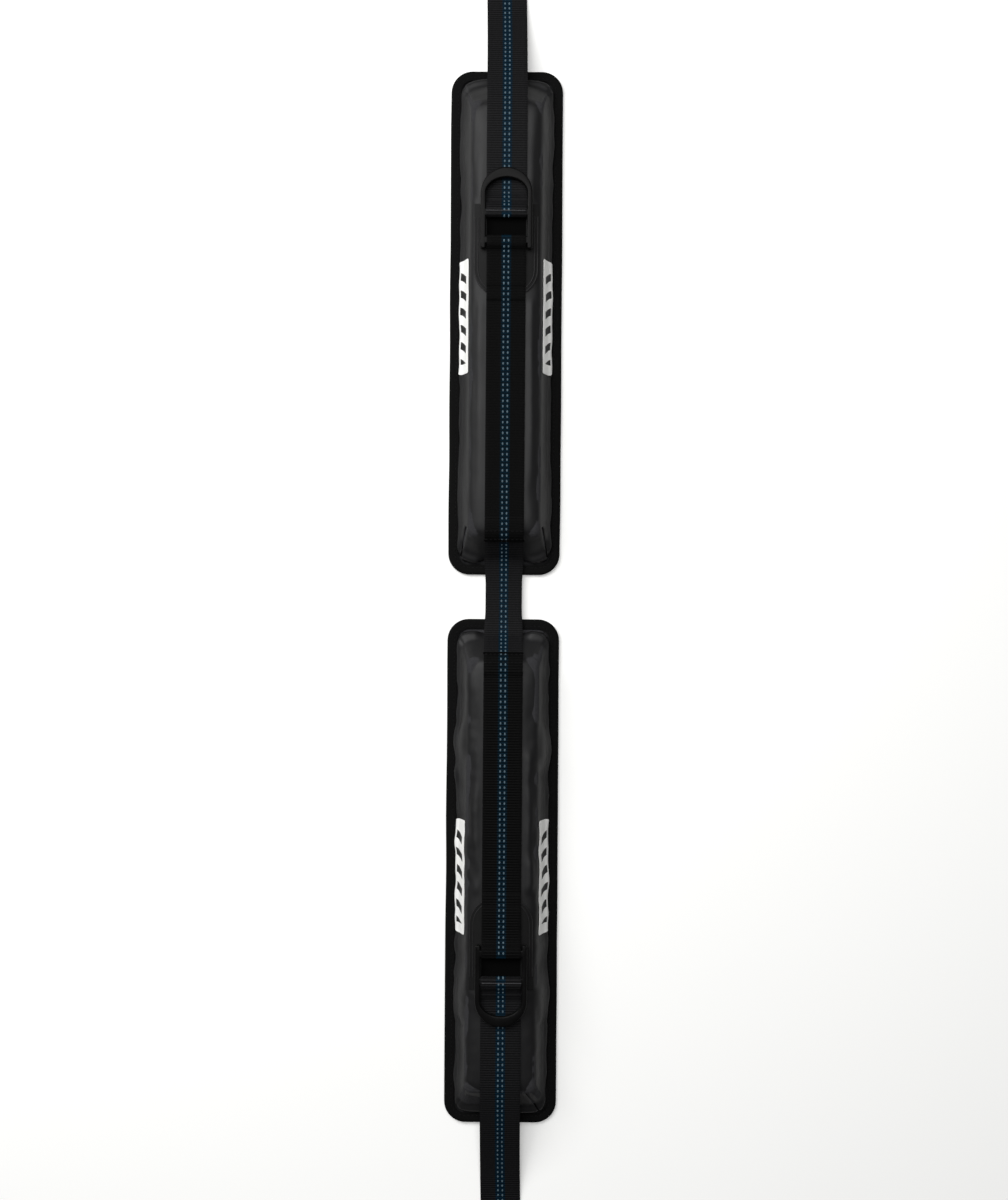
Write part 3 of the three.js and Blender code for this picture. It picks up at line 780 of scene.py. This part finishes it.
class Route:
    """A line in the plane along the pad, measured by the distance along it."""

    def __init__(self, points):
        self.points = [points[0]]
        for point in points[1:]:
            if (point - self.points[-1]).length > TOUCH:
                self.points.append(point)
        self.lengths = [0.0]
        for a, b in zip(self.points, self.points[1:]):
            self.lengths.append(self.lengths[-1] + (b - a).length)
        self.total = self.lengths[-1]
        self.normals = []
        for i, point in enumerate(self.points):
            before = self.points[max(i - 1, 0)]
            after = self.points[min(i + 1, len(self.points) - 1)]
            along = (after - before).normalized()
            self.normals.append(Vector((-along.y, along.x)))

    def place(self, distance, height):
        distance = max(0.0, min(self.total, distance))
        low, high = 0, len(self.lengths) - 1
        while high - low > 1:
            middle = (low + high) // 2
            if self.lengths[middle] <= distance:
                low = middle
            else:
                high = middle
        share = (distance - self.lengths[low]) / (self.lengths[high] - self.lengths[low])
        point = self.points[low].lerp(self.points[high], share)
        normal = self.normals[low].lerp(self.normals[high], share).normalized()
        return point + normal * height


# %% [markdown]
# The ring's place decides where the two webbings turn back. One wraps the inner bar, and the
# other the outer bar, each from above, round the bar's far side in the slot, and back beneath.

# %% The routes of the webbing
RING_EAR = 5 * MM
RING_BAR = 7 * MM
RING_SLOT = 20 * MM
RING_HOLE_STRAIGHT = 15 * MM
RING_HOLE_ARCH = 15 * MM
RING_LEG = 5.3 * MM
BAR_ONE = ring_low[1] + RING_EAR
BAR_ONE_END = BAR_ONE + RING_BAR
BAR_TWO = BAR_ONE_END + RING_SLOT
BAR_TWO_END = BAR_TWO + RING_BAR
SEAM_PLACE = 58 * MM
SEAM_OVERLAP = 14 * MM
FOLD_BACK = 38 * MM
STRAP_FOLD_BACK = 9 * MM
STRAP_LANDING = 612 * MM
STRAP_FLAT = 44 * MM
STRAP_HEM = 26 * MM
STRAP_STEEPNESS = 0.36
BAR_TURN = 2.4 * MM


def round_bar(far_side):
    """Over a bar, down its far side and back under it, for a bar whose far side is at +y."""
    low = ring_low[2] - CLEARANCE
    high = ring_high[2] + CLEARANCE
    middle = far_side + CLEARANCE - BAR_TURN
    return [*arc((middle, high - BAR_TURN), BAR_TURN, 90, 0),
            *arc((middle, low + BAR_TURN), BAR_TURN, 0, -90)]


def ribbed_route():
    on_connector = 2 * CLEARANCE + WEBBING
    overlap_end = SEAM_PLACE + SEAM_OVERLAP
    on_patch = patch_high[2] + CLEARANCE
    fold_end = BAR_ONE - FOLD_BACK
    return Route([
        *over_cover(SEAM_PLACE, overlap_end + 1 * MM, on_connector),
        *over_cover(overlap_end + 6 * MM, patch_low[1] - 6 * MM, CLEARANCE),
        *eased([
            Vector((patch_low[1] - 4 * MM, TOP_HEIGHT + CLEARANCE)),
            Vector((patch_low[1] - 1 * MM, on_patch)),
            Vector((fold_end - 3 * MM, on_patch)),
            Vector((fold_end, ring_low[2])),
            Vector((BAR_ONE - 7 * MM, ring_low[2])),
            Vector((BAR_ONE - 1.5 * MM, ring_high[2] - 0.3 * MM)),
            Vector((BAR_ONE + 1.4 * MM, ring_high[2] + CLEARANCE)),
        ]),
        *round_bar(BAR_ONE_END),
        Vector((fold_end + 1 * MM, ring_low[2] - CLEARANCE)),
    ])


def strap_route():
    fold_end = BAR_TWO_END + STRAP_FOLD_BACK
    leave = STRAP_LEAVES
    start = Vector((leave, top_along(leave) + CLEARANCE))
    run = STRAP_LANDING - leave
    end = STRAP_LANDING + STRAP_FLAT
    upper = WEBBING + CLEARANCE
    wrap = [Vector((BAR_TWO + BAR_TWO_END - p.x, p.y)) for p in reversed(round_bar(BAR_TWO_END))]
    return Route([
        Vector((fold_end, ring_low[2] - CLEARANCE)),
        *wrap,
        *eased([
            Vector((BAR_TWO_END - 1.4 * MM, ring_high[2] + CLEARANCE)),
            Vector((BAR_TWO_END + 1.5 * MM, ring_high[2] - 0.3 * MM)),
            Vector((BAR_TWO_END + 7 * MM, ring_low[2])),
            Vector((fold_end + 1 * MM, ring_low[2])),
            Vector((fold_end + 6 * MM, TOP_HEIGHT + CLEARANCE)),
            Vector((fold_end + 11 * MM, TOP_HEIGHT + CLEARANCE)),
        ]),
        *over_cover(fold_end + 12 * MM, leave - 6 * MM, CLEARANCE),
        *curve(start, Vector((leave + run * STRAP_STEEPNESS, start.y - run * STRAP_STEEPNESS * 0.12)),
               Vector((STRAP_LANDING - run * STRAP_STEEPNESS, 0)), Vector((STRAP_LANDING, 0))),
        *eased([
            Vector((end - STRAP_HEM - 8 * MM, 0)),
            Vector((end - STRAP_HEM - 5 * MM, 0)),
            Vector((end - STRAP_HEM - 1 * MM, upper)),
            Vector((end - STRAP_HEM + 2 * MM, upper)),
        ]),
        *arc((end, WEBBING + CLEARANCE / 2), CLEARANCE / 2, 90, -90, 4),
        Vector((end - STRAP_HEM, WEBBING)),
    ])


def connector_route():
    leave = PAD_MIDDLE - WALL_HALF_LENGTH + 9 * MM
    sewn = over_cover(SEAM_PLACE + SEAM_OVERLAP, leave, CLEARANCE)
    slope = math.atan2(WALL_HEIGHT - FLANGE_TOP, END_WALL_RUN)
    middle = EDGE_HEIGHT + CLEARANCE + 0.6 * MM
    last = sewn[-1]
    turn = Vector((last.x - (last.y - middle) / math.tan(slope), middle))
    half = sewn + [last.lerp(turn, t).lerp(turn.lerp(Vector((0, middle)), t), t)
                   for t in (i / 16 for i in range(1, 17))]
    return Route([Vector((-p.x, p.y)) for p in half] + half[-2::-1])


routes = {"ribbed": ribbed_route(), "strap": strap_route(), "connector": connector_route()}
for title, route in routes.items():
    print(title, "webbing is", round(route.total / MM), "mm long")

# %% [markdown]
# The flat strip is laid along its route for one pad. The other pad is the same, half a turn
# round the rack's middle, as the two pads of a real rack are sewn from the same pattern.

# %% Webbing strips
STRIP_COLUMNS = 20
ROUNDED_EDGE = 1.1 * MM
THIN_EDGE = 0.35
SELVEDGE = 1.6 * MM
SELVEDGE_FADE = 0.8 * MM


def flat_strip(length, width, step):
    clear()
    rows = max(2, round(length / step))
    bpy.ops.mesh.primitive_grid_add(x_subdivisions=rows, y_subdivisions=STRIP_COLUMNS, size=1)
    strip = bpy.context.object
    bpy.ops.object.mode_set(mode="EDIT")
    bpy.ops.mesh.select_all(action="SELECT")
    bpy.ops.transform.resize(value=(length, width, 1))
    bpy.ops.transform.translate(value=(length / 2, 0, 0))
    bpy.ops.object.mode_set(mode="OBJECT")
    finish_with(strip, "SOLIDIFY", thickness=WEBBING, offset=1, use_even_offset=False)
    return strip


def map_strip(strip):
    """Keeps each point's distance along and across the strip as its map."""
    layer = strip.data.uv_layers.new(name="strip")
    for loop in strip.data.loops:
        point = strip.data.vertices[loop.vertex_index].co
        layer.data[loop.index].uv = (point.x, point.y)
    for other in [u for u in strip.data.uv_layers if u.name != "strip"]:
        strip.data.uv_layers.remove(other)


def shape_strip(strip, width, rib_height, rib_pitch, waist=None):
    """Thins the edges, raises the ribs and narrows the middle, on the flat strip."""
    half = WEBBING / 2
    for vertex in strip.data.vertices:
        point = vertex.co
        from_edge = width / 2 - abs(point.y)
        edge = max(0.0, min(1.0, from_edge / ROUNDED_EDGE))
        full = math.sqrt(1 - (1 - edge) ** 2)
        inner = max(0.0, min(1.0, (from_edge - SELVEDGE) / SELVEDGE_FADE))
        rib = rib_height * (1 - abs(math.sin(math.pi * point.x / rib_pitch))) * inner
        face = 1 if point.z > half else -1
        point.z = half + face * (half * (THIN_EDGE + (1 - THIN_EDGE) * full)) - face * rib
        if waist:
            point.y *= waist(point.x)


def lay(strip, route, turned=False, sideways=None):
    for vertex in strip.data.vertices:
        point = vertex.co
        place = route.place(point.x, point.z)
        shift = sideways(point.x) if sideways else 0.0
        vertex.co = Vector((point.y + shift, place.x, place.y))
    if turned:
        turn_round(strip)
    choose(strip)
    bpy.ops.object.mode_set(mode="EDIT")
    face_outward()
    bpy.ops.object.mode_set(mode="OBJECT")


# %% [markdown]
# The tracer is two rows of pale floats, where a blue yarn passes over the black ones. One float
# is modelled as a small flattened ball, and an Array modifier repeats it at the pitch of the
# weave. The rows are laid along the same route as the strip, so they sink into its face.

# %% Tracer yarn
TRACER_PITCH = 5.2 * MM
TRACER_SPREAD = 2.15 * MM
FLOAT_LENGTH = 2.7 * MM
FLOAT_WIDTH = 1.8 * MM
FLOAT_HEIGHT = 0.7 * MM


def tracer_rows(route, start, stop, level):
    parts = []
    for row in (-1, 1):
        clear()
        bpy.ops.mesh.primitive_uv_sphere_add(segments=8, ring_count=6, radius=0.5)
        bead = bpy.context.object
        bpy.ops.object.mode_set(mode="EDIT")
        bpy.ops.mesh.select_all(action="SELECT")
        bpy.ops.transform.resize(value=(FLOAT_LENGTH, FLOAT_WIDTH, FLOAT_HEIGHT))
        bpy.ops.transform.translate(value=(start + FLOAT_LENGTH / 2, row * TRACER_SPREAD, level))
        bpy.ops.object.mode_set(mode="OBJECT")
        count = int((stop - start) / TRACER_PITCH)
        finish_with(bead, "ARRAY", count=count, use_relative_offset=False,
                    use_constant_offset=True, constant_offset_displace=(TRACER_PITCH, 0, 0))
        parts.append(bead)
    clear()
    for part in parts:
        part.select_set(True)
    bpy.context.view_layer.objects.active = parts[0]
    bpy.ops.object.join()
    return bpy.context.object


# %% [markdown]
# The ribbed webbing has the highest ribs. The strap and the connector are smoother, and the
# connector is drawn in a little where it hangs free in the gap. The strap's free end lies a
# little to one side.

# %% Webbing laid on the pads
RIB_HEIGHT = 0.4 * MM
STRAP_RIB_HEIGHT = 0.25 * MM
CONNECTOR_RIB_HEIGHT = 0.15 * MM
ribbed_width = ribbed_high[0] - ribbed_low[0]
strap_width = strap_high[0] - strap_low[0]
middle_low, middle_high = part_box("connector_webbing")
connector_width = middle_high[0] - middle_low[0]
CONNECTOR_WAIST = 36 / 38
WAIST_REACH = 34 * MM
DRIFT_LENGTH = 190 * MM
DRIFT = 3.5 * MM
TRACER_ENDS = {"ribbed": (1 * MM, FOLD_BACK + 10 * MM), "strap": (14 * MM, 30 * MM)}


def narrowed(distance):
    near = 1 - abs(distance - routes["connector"].total / 2) / WAIST_REACH
    return 1 + (CONNECTOR_WAIST - 1) * ramp(1.5 * near, 0, 1)


def drift(distance):
    """The free strap lies a little to one side past the pad."""
    past = max(0.0, distance - (routes["strap"].total - DRIFT_LENGTH)) / DRIFT_LENGTH
    return -DRIFT * past * past


for letter, turned in TURNED.items():
    strip = flat_strip(routes["ribbed"].total, ribbed_width, RIB_PITCH / 5)
    map_strip(strip)
    shape_strip(strip, ribbed_width, RIB_HEIGHT, RIB_PITCH)
    lay(strip, routes["ribbed"], turned)
    settle(strip, f"ribbed_webbing_{letter}", ribbed_cloth, smooth=70)
    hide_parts(f"pad_{letter}_ring_webbing")
    strap = flat_strip(routes["strap"].total, strap_width, STRAP_PITCH / 4)
    map_strip(strap)
    shape_strip(strap, strap_width, STRAP_RIB_HEIGHT, STRAP_PITCH)
    lay(strap, routes["strap"], turned, drift)
    settle(strap, f"lashing_strap_{letter}", smooth_cloth, smooth=70)
    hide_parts(f"pad_{letter}_outer_strap")
    for title, (start, stop) in TRACER_ENDS.items():
        yarn = tracer_rows(routes[title], start, routes[title].total - stop, WEBBING)
        lay(yarn, routes[title], turned, drift if title == "strap" else None)
        settle(yarn, f"tracer_{title}_{letter}", tracer_yarn, smooth=80)

link = flat_strip(routes["connector"].total, connector_width, STRAP_PITCH / 4)
map_strip(link)
shape_strip(link, connector_width, CONNECTOR_RIB_HEIGHT, STRAP_PITCH, narrowed)
lay(link, routes["connector"])
settle(link, "connector", smooth_cloth, smooth=70)
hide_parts("connector_webbing")
yarn = tracer_rows(routes["connector"], SEAM_OVERLAP + 2 * MM,
                   routes["connector"].total - SEAM_OVERLAP - 1 * MM, WEBBING)
lay(yarn, routes["connector"])
settle(yarn, "tracer_connector", tracer_yarn, smooth=80)

# %% [markdown]
# The ring is one moulding. A leg is a box drawn out in four lengths, so that each bar has a
# face to grow from. The arch is the leg's end face spun half a turn, and the second leg is
# drawn back from it. Two bridges make the bars. The inside of the arch is then flattened, which
# leaves the band thicker at its top than at the legs. The ears at the pad's side are rounded in
# plan, and a Bevel modifier rounds every edge.

# %% Tie-down ring
ARCH_START = BAR_TWO_END + RING_HOLE_STRAIGHT
RING_MIDDLE = (ring_low[2] + ring_high[2]) / 2
RING_HALF = ring_high[0]
RING_INNER = RING_HALF - RING_LEG
EAR_ROUND = 2.5 * MM
EDGE_ROUND = 1.5 * MM
ARCH_STEPS = 24


def tie_down_ring(name, turned):
    clear()
    bpy.ops.mesh.primitive_cube_add(size=1)
    ring = bpy.context.object
    bpy.ops.object.mode_set(mode="EDIT")
    bpy.ops.transform.resize(value=(RING_LEG, RING_EAR, ring_high[2] - ring_low[2]))
    bpy.ops.transform.translate(value=(RING_INNER + RING_LEG / 2, ring_low[1] + RING_EAR / 2, RING_MIDDLE))
    reach = ring_low[1] + RING_EAR
    for length in (RING_BAR, RING_SLOT, RING_BAR, RING_HOLE_STRAIGHT):
        pick("FACE", lambda f: f.normal.y > 0.9 and f.calc_center_median().y > reach - TOUCH)
        bpy.ops.mesh.extrude_region_move(TRANSFORM_OT_translate={"value": (0, length, 0)})
        reach += length
    pick("FACE", lambda f: f.normal.y > 0.9 and f.calc_center_median().y > reach - TOUCH)
    bpy.ops.mesh.spin(steps=ARCH_STEPS, angle=-math.pi, center=(0, ARCH_START, RING_MIDDLE),
                      axis=(0, 0, 1))
    back = -RING_INNER - RING_LEG / 2
    for length in (RING_HOLE_STRAIGHT, RING_BAR, RING_SLOT, RING_BAR, RING_EAR):
        pick("FACE", lambda f: abs(f.normal.y) > 0.9 and abs(f.calc_center_median().y - reach) < TOUCH
             and abs(f.calc_center_median().x - back) < NEAR)
        bpy.ops.mesh.extrude_region_move(TRANSFORM_OT_translate={"value": (0, -length, 0)})
        reach -= length
    bpy.ops.mesh.select_all(action="SELECT")
    bpy.ops.mesh.remove_doubles(threshold=TOUCH)
    face_outward()
    for middle in (BAR_ONE + RING_BAR / 2, BAR_TWO + RING_BAR / 2):
        found = pick("FACE", lambda f: abs(f.normal.x) > 0.9 and abs(f.calc_center_median().y - middle) < NEAR
                     and abs(abs(f.calc_center_median().x) - RING_INNER) < NEAR)
        print(name, "bar grows from", found, "faces")
        bpy.ops.mesh.bridge_edge_loops()
    pick("VERT", lambda v: v.co.y > ARCH_START + TOUCH
         and math.hypot(v.co.x, v.co.y - ARCH_START) < RING_INNER + RING_LEG / 2)
    bpy.ops.transform.resize(value=(1, RING_HOLE_ARCH / RING_INNER, 1),
                             center_override=(0, ARCH_START, RING_MIDDLE))
    pick("EDGE", lambda e: all(v.co.y < ring_low[1] + TOUCH and abs(v.co.x) > RING_HALF - TOUCH
                               for v in e.verts))
    bpy.ops.mesh.bevel(offset=EAR_ROUND, segments=4, affect="EDGES")
    face_outward()
    bpy.ops.object.mode_set(mode="OBJECT")
    finish_with(ring, "BEVEL", width=EDGE_ROUND, segments=4, limit_method="ANGLE",
                angle_limit=math.radians(40))
    if turned:
        turn_round(ring)
    return ring


for letter, turned in TURNED.items():
    ring = tie_down_ring(f"ring_{letter}", turned)
    settle(ring, f"ring_{letter}", ring_nylon, smooth=50)
    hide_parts(f"pad_{letter}_tie_down_ring")

# %% [markdown]
# The patch under the ring is a heavier piece of the cover's cloth, round at its inner end. It
# is a rounded sheet that is bisected across its width, so that it can follow the crown, and it
# gets its thickness from a Solidify modifier.

# %% Ring patch
PATCH_RADIUS = 26 * MM
PATCH_THICKNESS = 1.2 * MM
PATCH_RIPPLE = 0.25 * MM


def slice_sheet(low, high, count, axis):
    for i in range(1, count):
        spot = low + (high - low) * i / count
        bpy.ops.mesh.select_all(action="SELECT")
        point = (spot, 0, 0) if axis == "X" else (0, spot, 0)
        normal = (1, 0, 0) if axis == "X" else (0, 1, 0)
        bpy.ops.mesh.bisect(plane_co=point, plane_no=normal)


def ring_patch(turned):
    half_width = patch_high[0]
    half_length = (patch_high[1] - patch_low[1]) / 2
    sheet = rounded_sheet(half_width, half_length, {(-1, -1): PATCH_RADIUS, (1, -1): PATCH_RADIUS}, 12)
    slice_sheet(-half_width, half_width, 24, "X")
    slice_sheet(-half_length, half_length, 16, "Y")
    bpy.ops.object.mode_set(mode="OBJECT")
    for vertex in sheet.data.vertices:
        point = vertex.co
        wave = PATCH_RIPPLE * noise_at(point, (60, 50, 0), 2)
        point.z = top_across(point.x) + CLEARANCE + max(0.0, wave)
        point.y += (patch_low[1] + patch_high[1]) / 2
    finish_with(sheet, "SOLIDIFY", thickness=PATCH_THICKNESS, offset=1)
    if turned:
        turn_round(sheet)
    return sheet


for letter, turned in TURNED.items():
    patch = ring_patch(turned)
    settle(patch, f"patch_{letter}", patch_cloth, smooth=50)
    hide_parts(f"pad_{letter}_ring_patch")

# %% [markdown]
# The labels are printed patches on the side walls, so they follow the swelling of the cover.
# Each is a rounded sheet, stood up beside the wall and drawn onto it with a Shrinkwrap modifier
# that looks straight across the pad.

# %% Side labels
LABEL_LENGTH = label_high[1] - label_low[1]
LABEL_HEIGHT = 25 * MM
LABEL_RADIUS = 8 * MM
LABEL_TOP_RADIUS = 2 * MM
LABEL_THICKNESS = 0.4 * MM
LABEL_LEAN = 0.95
LABEL_START = PAD_HALF_WIDTH + 5 * MM
LABEL_LIFT = 0.35 * MM


def side_label(letter, side):
    hand = "left" if side < 0 else "right"
    radii = {(-1, -1): LABEL_RADIUS, (-1, 1): LABEL_RADIUS,
             (1, -1): LABEL_TOP_RADIUS, (1, 1): LABEL_TOP_RADIUS}
    sheet = rounded_sheet(LABEL_HEIGHT / 2, LABEL_LENGTH / 2, radii, 6)
    slice_sheet(-LABEL_HEIGHT / 2, LABEL_HEIGHT / 2, 12, "X")
    slice_sheet(-LABEL_LENGTH / 2, LABEL_LENGTH / 2, 40, "Y")
    bpy.ops.object.mode_set(mode="OBJECT")
    map_strip(sheet)
    low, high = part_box(f"pad_{letter}_{hand}_label")
    for vertex in sheet.data.vertices:
        across, along = vertex.co.x, vertex.co.y
        z = (low[2] + high[2]) / 2 + across * LABEL_LEAN
        vertex.co = Vector((side * LABEL_START, (low[1] + high[1]) / 2 + along, z))
    finish_with(sheet, "SHRINKWRAP", target=covers[letter], wrap_method="PROJECT", use_project_x=True,
                use_negative_direction=True, use_positive_direction=True, offset=LABEL_LIFT)
    choose(sheet)
    bpy.ops.object.mode_set(mode="EDIT")
    face_outward()
    bpy.ops.object.mode_set(mode="OBJECT")
    if sheet.data.polygons[0].normal.x * side < 0:
        sheet.data.flip_normals()
    finish_with(sheet, "SOLIDIFY", thickness=LABEL_THICKNESS, offset=1)
    settle(sheet, f"label_{letter}_{hand}", white_print, smooth=50)
    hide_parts(f"pad_{letter}_{hand}_label")


for letter in TURNED:
    for side in (-1, 1):
        side_label(letter, side)

# %% [markdown]
# Stitches are what makes sewn things look sewn. One stitch is a short bead of thread, and a row
# is many copies of it along a line on the cloth: black ones round the binding and in two rows
# across the cross seam, and a grey row across the strap near its turn, which also paints the
# highlight where the strap bends over the ring's bar. Beads that overlap make a cord, which is how
# the rolled rim of the ring's patch is drawn. Near-black cords are painted shade: one along the cut
# edge at the cross seam, for the shadow that the webbing's end casts, and one in each open dart.

# %% Stitches
STITCH = 3.2 * MM
STITCH_PITCH = 4.2 * MM
THREAD = 0.9 * MM
BINDING_ROW = BINDING_WIDTH - 2.5 * MM
SEAM_ROWS = (2.5 * MM, 11 * MM)
SEAM_SHADOW = 0.2 * MM
STRAP_HIGHLIGHT_ROW = 25 * MM
RIM_LINES = (0.6 * MM, 3.6 * MM)
DART_POINTS = 25


def bead_row(name, lines, material, length=STITCH, pitch=STITCH_PITCH, width=THREAD):
    """Each line is a list of points; each bead lies along it, half sunk into the cloth."""
    clear()
    mesh = bmesh.new()
    for line in lines:
        travelled = 0.0
        for a, b in zip(line, line[1:]):
            piece = b - a
            aim = piece.to_track_quat("X", "Z").to_matrix().to_4x4()
            while travelled < piece.length:
                middle = a + piece * (travelled / piece.length)
                spot = Matrix.Translation(middle) @ aim @ Matrix.Diagonal((length, width, width * 0.7, 1))
                bmesh.ops.create_uvsphere(mesh, u_segments=6, v_segments=4, radius=0.5, matrix=spot)
                travelled += pitch
            travelled -= piece.length
    data = bpy.data.meshes.new(name)
    mesh.to_mesh(data)
    mesh.free()
    piece = bpy.data.objects.new(name, data)
    bpy.context.collection.objects.link(piece)
    return settle(piece, name, material, smooth=80)


def binding_line(side, inset, z):
    half_width = PAD_HALF_WIDTH - inset
    half_length = PAD_HALF_LENGTH - inset
    radius = CORNER_RADIUS - inset
    points = []
    for sx, sy, start in ((1, 1, 0), (-1, 1, 90), (-1, -1, 180), (1, -1, 270)):
        centre = (sx * (half_width - radius), sy * (half_length - radius) + side * PAD_MIDDLE)
        points += [Vector((p.x, p.y, z)) for p in arc(centre, radius, start, start + 90, 10)]
    return points + [points[0]]


def across_line(route, distance, half_width, turned):
    place = route.place(distance, WEBBING)
    sign = -1 if turned else 1
    return [Vector((sign * x, sign * place.x, place.y)) for x in (-half_width, half_width)]


def patch_line(inset, turned):
    """Down one side of the patch, round its inner end and up the other side."""
    half = patch_high[0] - inset
    radius = PATCH_RADIUS - inset
    start = patch_low[1] + inset
    plan = [Vector((half, BAR_TWO)), *arc((half - radius, start + radius), radius, 0, -90, 12),
            *arc((radius - half, start + radius), radius, -90, -180, 12), Vector((-half, BAR_TWO))]
    sign = -1 if turned else 1
    lift = CLEARANCE + PATCH_THICKNESS
    return [Vector((sign * p.x, sign * p.y, top_across(p.x) + lift)) for p in plan]


def dart_line(letter, side, x_sign, outer):
    """From the crown's corner down to the foot, on the cover as it has swelled."""
    tree = BVHTree.FromObject(covers[letter], bpy.context.evaluated_depsgraph_get())
    tip, foot, _ = dart_at(side, x_sign, outer)
    points = []
    for i in range(DART_POINTS):
        spot = tip.lerp(foot, i / (DART_POINTS - 1))
        hit = tree.ray_cast(Vector((spot.x, spot.y, 2 * TOP_HEIGHT)), Vector((0, 0, -1)))[0]
        if hit:
            points.append(hit + Vector((0, 0, 0.2 * MM)))
    return points


for letter, turned in TURNED.items():
    seam, strap = routes["ribbed"], routes["strap"]
    lines = [binding_line(SIDES[letter], BINDING_ROW, EDGE_HEIGHT + 0.05 * MM)]
    lines += [across_line(seam, distance, ribbed_width / 2 - 2 * MM, turned) for distance in SEAM_ROWS]
    bead_row(f"stitches_{letter}", lines, seam_thread)
    # The webbing's cut end at the cross seam, with a black cord of painted shadow that the end casts.
    seam_shadow_line = across_line(seam, SEAM_SHADOW, ribbed_width / 2 - 0.5 * MM, turned)
    bead_row(f"seam_shadow_{letter}", [seam_shadow_line], painted_shade_cloth, 3 * MM, 1 * MM, 2.2 * MM)
    # A pale grey stitch row across the strap, which also paints the highlight where the strap bends over the
    # bar.
    highlight_row = across_line(strap, STRAP_HIGHLIGHT_ROW, strap_width / 2 - 1 * MM, turned)
    bead_row(f"strap_highlight_stitches_{letter}", [highlight_row], grey_highlight_thread,
             3 * MM, 2 * MM, 1.1 * MM)
    bead_row(f"patch_rim_{letter}", [patch_line(inset, turned) for inset in RIM_LINES], cover_cloth,
             3 * MM, 1.2 * MM, 1.4 * MM)
# Each open dart gets a black cord of painted shade in its slit.
dart_shade_lines = [dart_line("a" if side > 0 else "b", side, x_sign, outer) for side, x_sign, outer in OPEN_DARTS]
bead_row("dart_shadows", dart_shade_lines, painted_shade_cloth, 3 * MM, 1 * MM, 1.6 * MM)

# %% [markdown]
# Under the ring a thin near-black sheet lies on the patch. It is painted shade: seen only through
# the ring's slot, it makes the gap between the two webbings look deep.

# %% Painted shade under the ring
THIN_SHADE_SHEET = 0.2 * MM

for letter, turned in TURNED.items():
    clear()
    bpy.ops.mesh.primitive_cube_add(size=1)
    # A thin black sheet of painted shade, seen only through the ring's slot.
    tape = bpy.context.object
    bpy.ops.object.mode_set(mode="EDIT")
    bpy.ops.transform.resize(value=(ribbed_width, BAR_TWO_END - BAR_ONE, THIN_SHADE_SHEET))
    bpy.ops.transform.translate(value=(0, (BAR_ONE + BAR_TWO_END) / 2, patch_high[2] + 0.13 * MM))
    bpy.ops.object.mode_set(mode="OBJECT")
    if turned:
        turn_round(tape)
    settle(tape, f"slot_shade_sheet_{letter}", painted_shade_cloth)

# %% [markdown]
# The pieces that nobody sees from above keep their solid shape and get a true material: the
# foam core inside the cover and the grip sheet that lies on the roof.

# %% Solids that stay
for letter in TURNED:
    for node, material in ((f"pad_{letter}_foam_core", cell_foam), (f"pad_{letter}_base_panel", grip_sheet)):
        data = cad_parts[node].data
        data.materials.clear()
        data.materials.append(material)

# %% [markdown]
# The picture is taken from straight above, through a 50 mm lens on a full-frame body that is
# turned by less than half a degree. The floor is white. A large soft lamp hangs overhead, a
# smaller one stands to the left of the top end, and the sky adds only a little.

# %% Camera, floor and lamps
CAMERA_HEIGHT = 1.65
VIEW_HALF_HEIGHT = 0.5975
CAMERA_TURN = math.radians(0.43)
CAMERA_SHIFT = (0.0003, -0.003)
SENSOR = 36.0
FLOOR_SIZE = 2.2
FLOOR_GLOW = 0.22
SKY_LEVEL = 0.06
LAMPS = (
    ("side", (-1.4, 1.0, 1.7), 1.0, 1.6, 34.0),
    ("overhead", (-0.2, 0.75, 2.3), 1.4, 2.2, 41.0),
)


def studio():
    clear()
    camera_data = bpy.data.cameras.new("camera")
    camera_data.sensor_width = SENSOR
    camera_data.lens = SENSOR / 2 * CAMERA_HEIGHT / VIEW_HALF_HEIGHT
    camera = bpy.data.objects.new("camera", camera_data)
    camera.location = (*CAMERA_SHIFT, CAMERA_HEIGHT)
    camera.rotation_euler = (0, 0, CAMERA_TURN)
    bpy.context.collection.objects.link(camera)
    bpy.context.scene.camera = camera

    bpy.ops.mesh.primitive_plane_add(size=FLOOR_SIZE, location=(0, 0, -0.2 * MM))
    floor = bpy.context.object
    floor.name = "floor"
    material, tree, shader = new_material("Matt white paper", "#f7f7f5", 0.9)
    ray = add(tree, "ShaderNodeLightPath").outputs["Is Camera Ray"]
    glow = add(tree, "ShaderNodeMath", {0: ray}, operation="MULTIPLY")
    glow.inputs[1].default_value = FLOOR_GLOW
    shader.inputs["Emission Color"].default_value = (1, 1, 1, 1)
    tree.links.new(glow.outputs[0], shader.inputs["Emission Strength"])
    floor.data.materials.append(material)

    for name, place, width, length, power in LAMPS:
        lamp_data = bpy.data.lights.new(name, "AREA")
        lamp_data.shape = "RECTANGLE"
        lamp_data.size = width
        lamp_data.size_y = length
        lamp_data.energy = power
        lamp = bpy.data.objects.new(name, lamp_data)
        lamp.location = place
        lamp.rotation_euler = (-Vector(place)).to_track_quat("-Z", "Y").to_euler()
        bpy.context.collection.objects.link(lamp)

    world = bpy.data.worlds.new("sky")
    bpy.context.scene.world = world
    world.use_nodes = True
    sky = world.node_tree
    background = sky.nodes["Background"]
    background.inputs["Color"].default_value = (1, 1, 1, 1)
    ray = add(sky, "ShaderNodeLightPath").outputs["Is Camera Ray"]
    sky.links.new(remap(sky, ray, SKY_LEVEL, 1.0), background.inputs["Strength"])
    bpy.context.scene.view_settings.view_transform = "Standard"


studio()
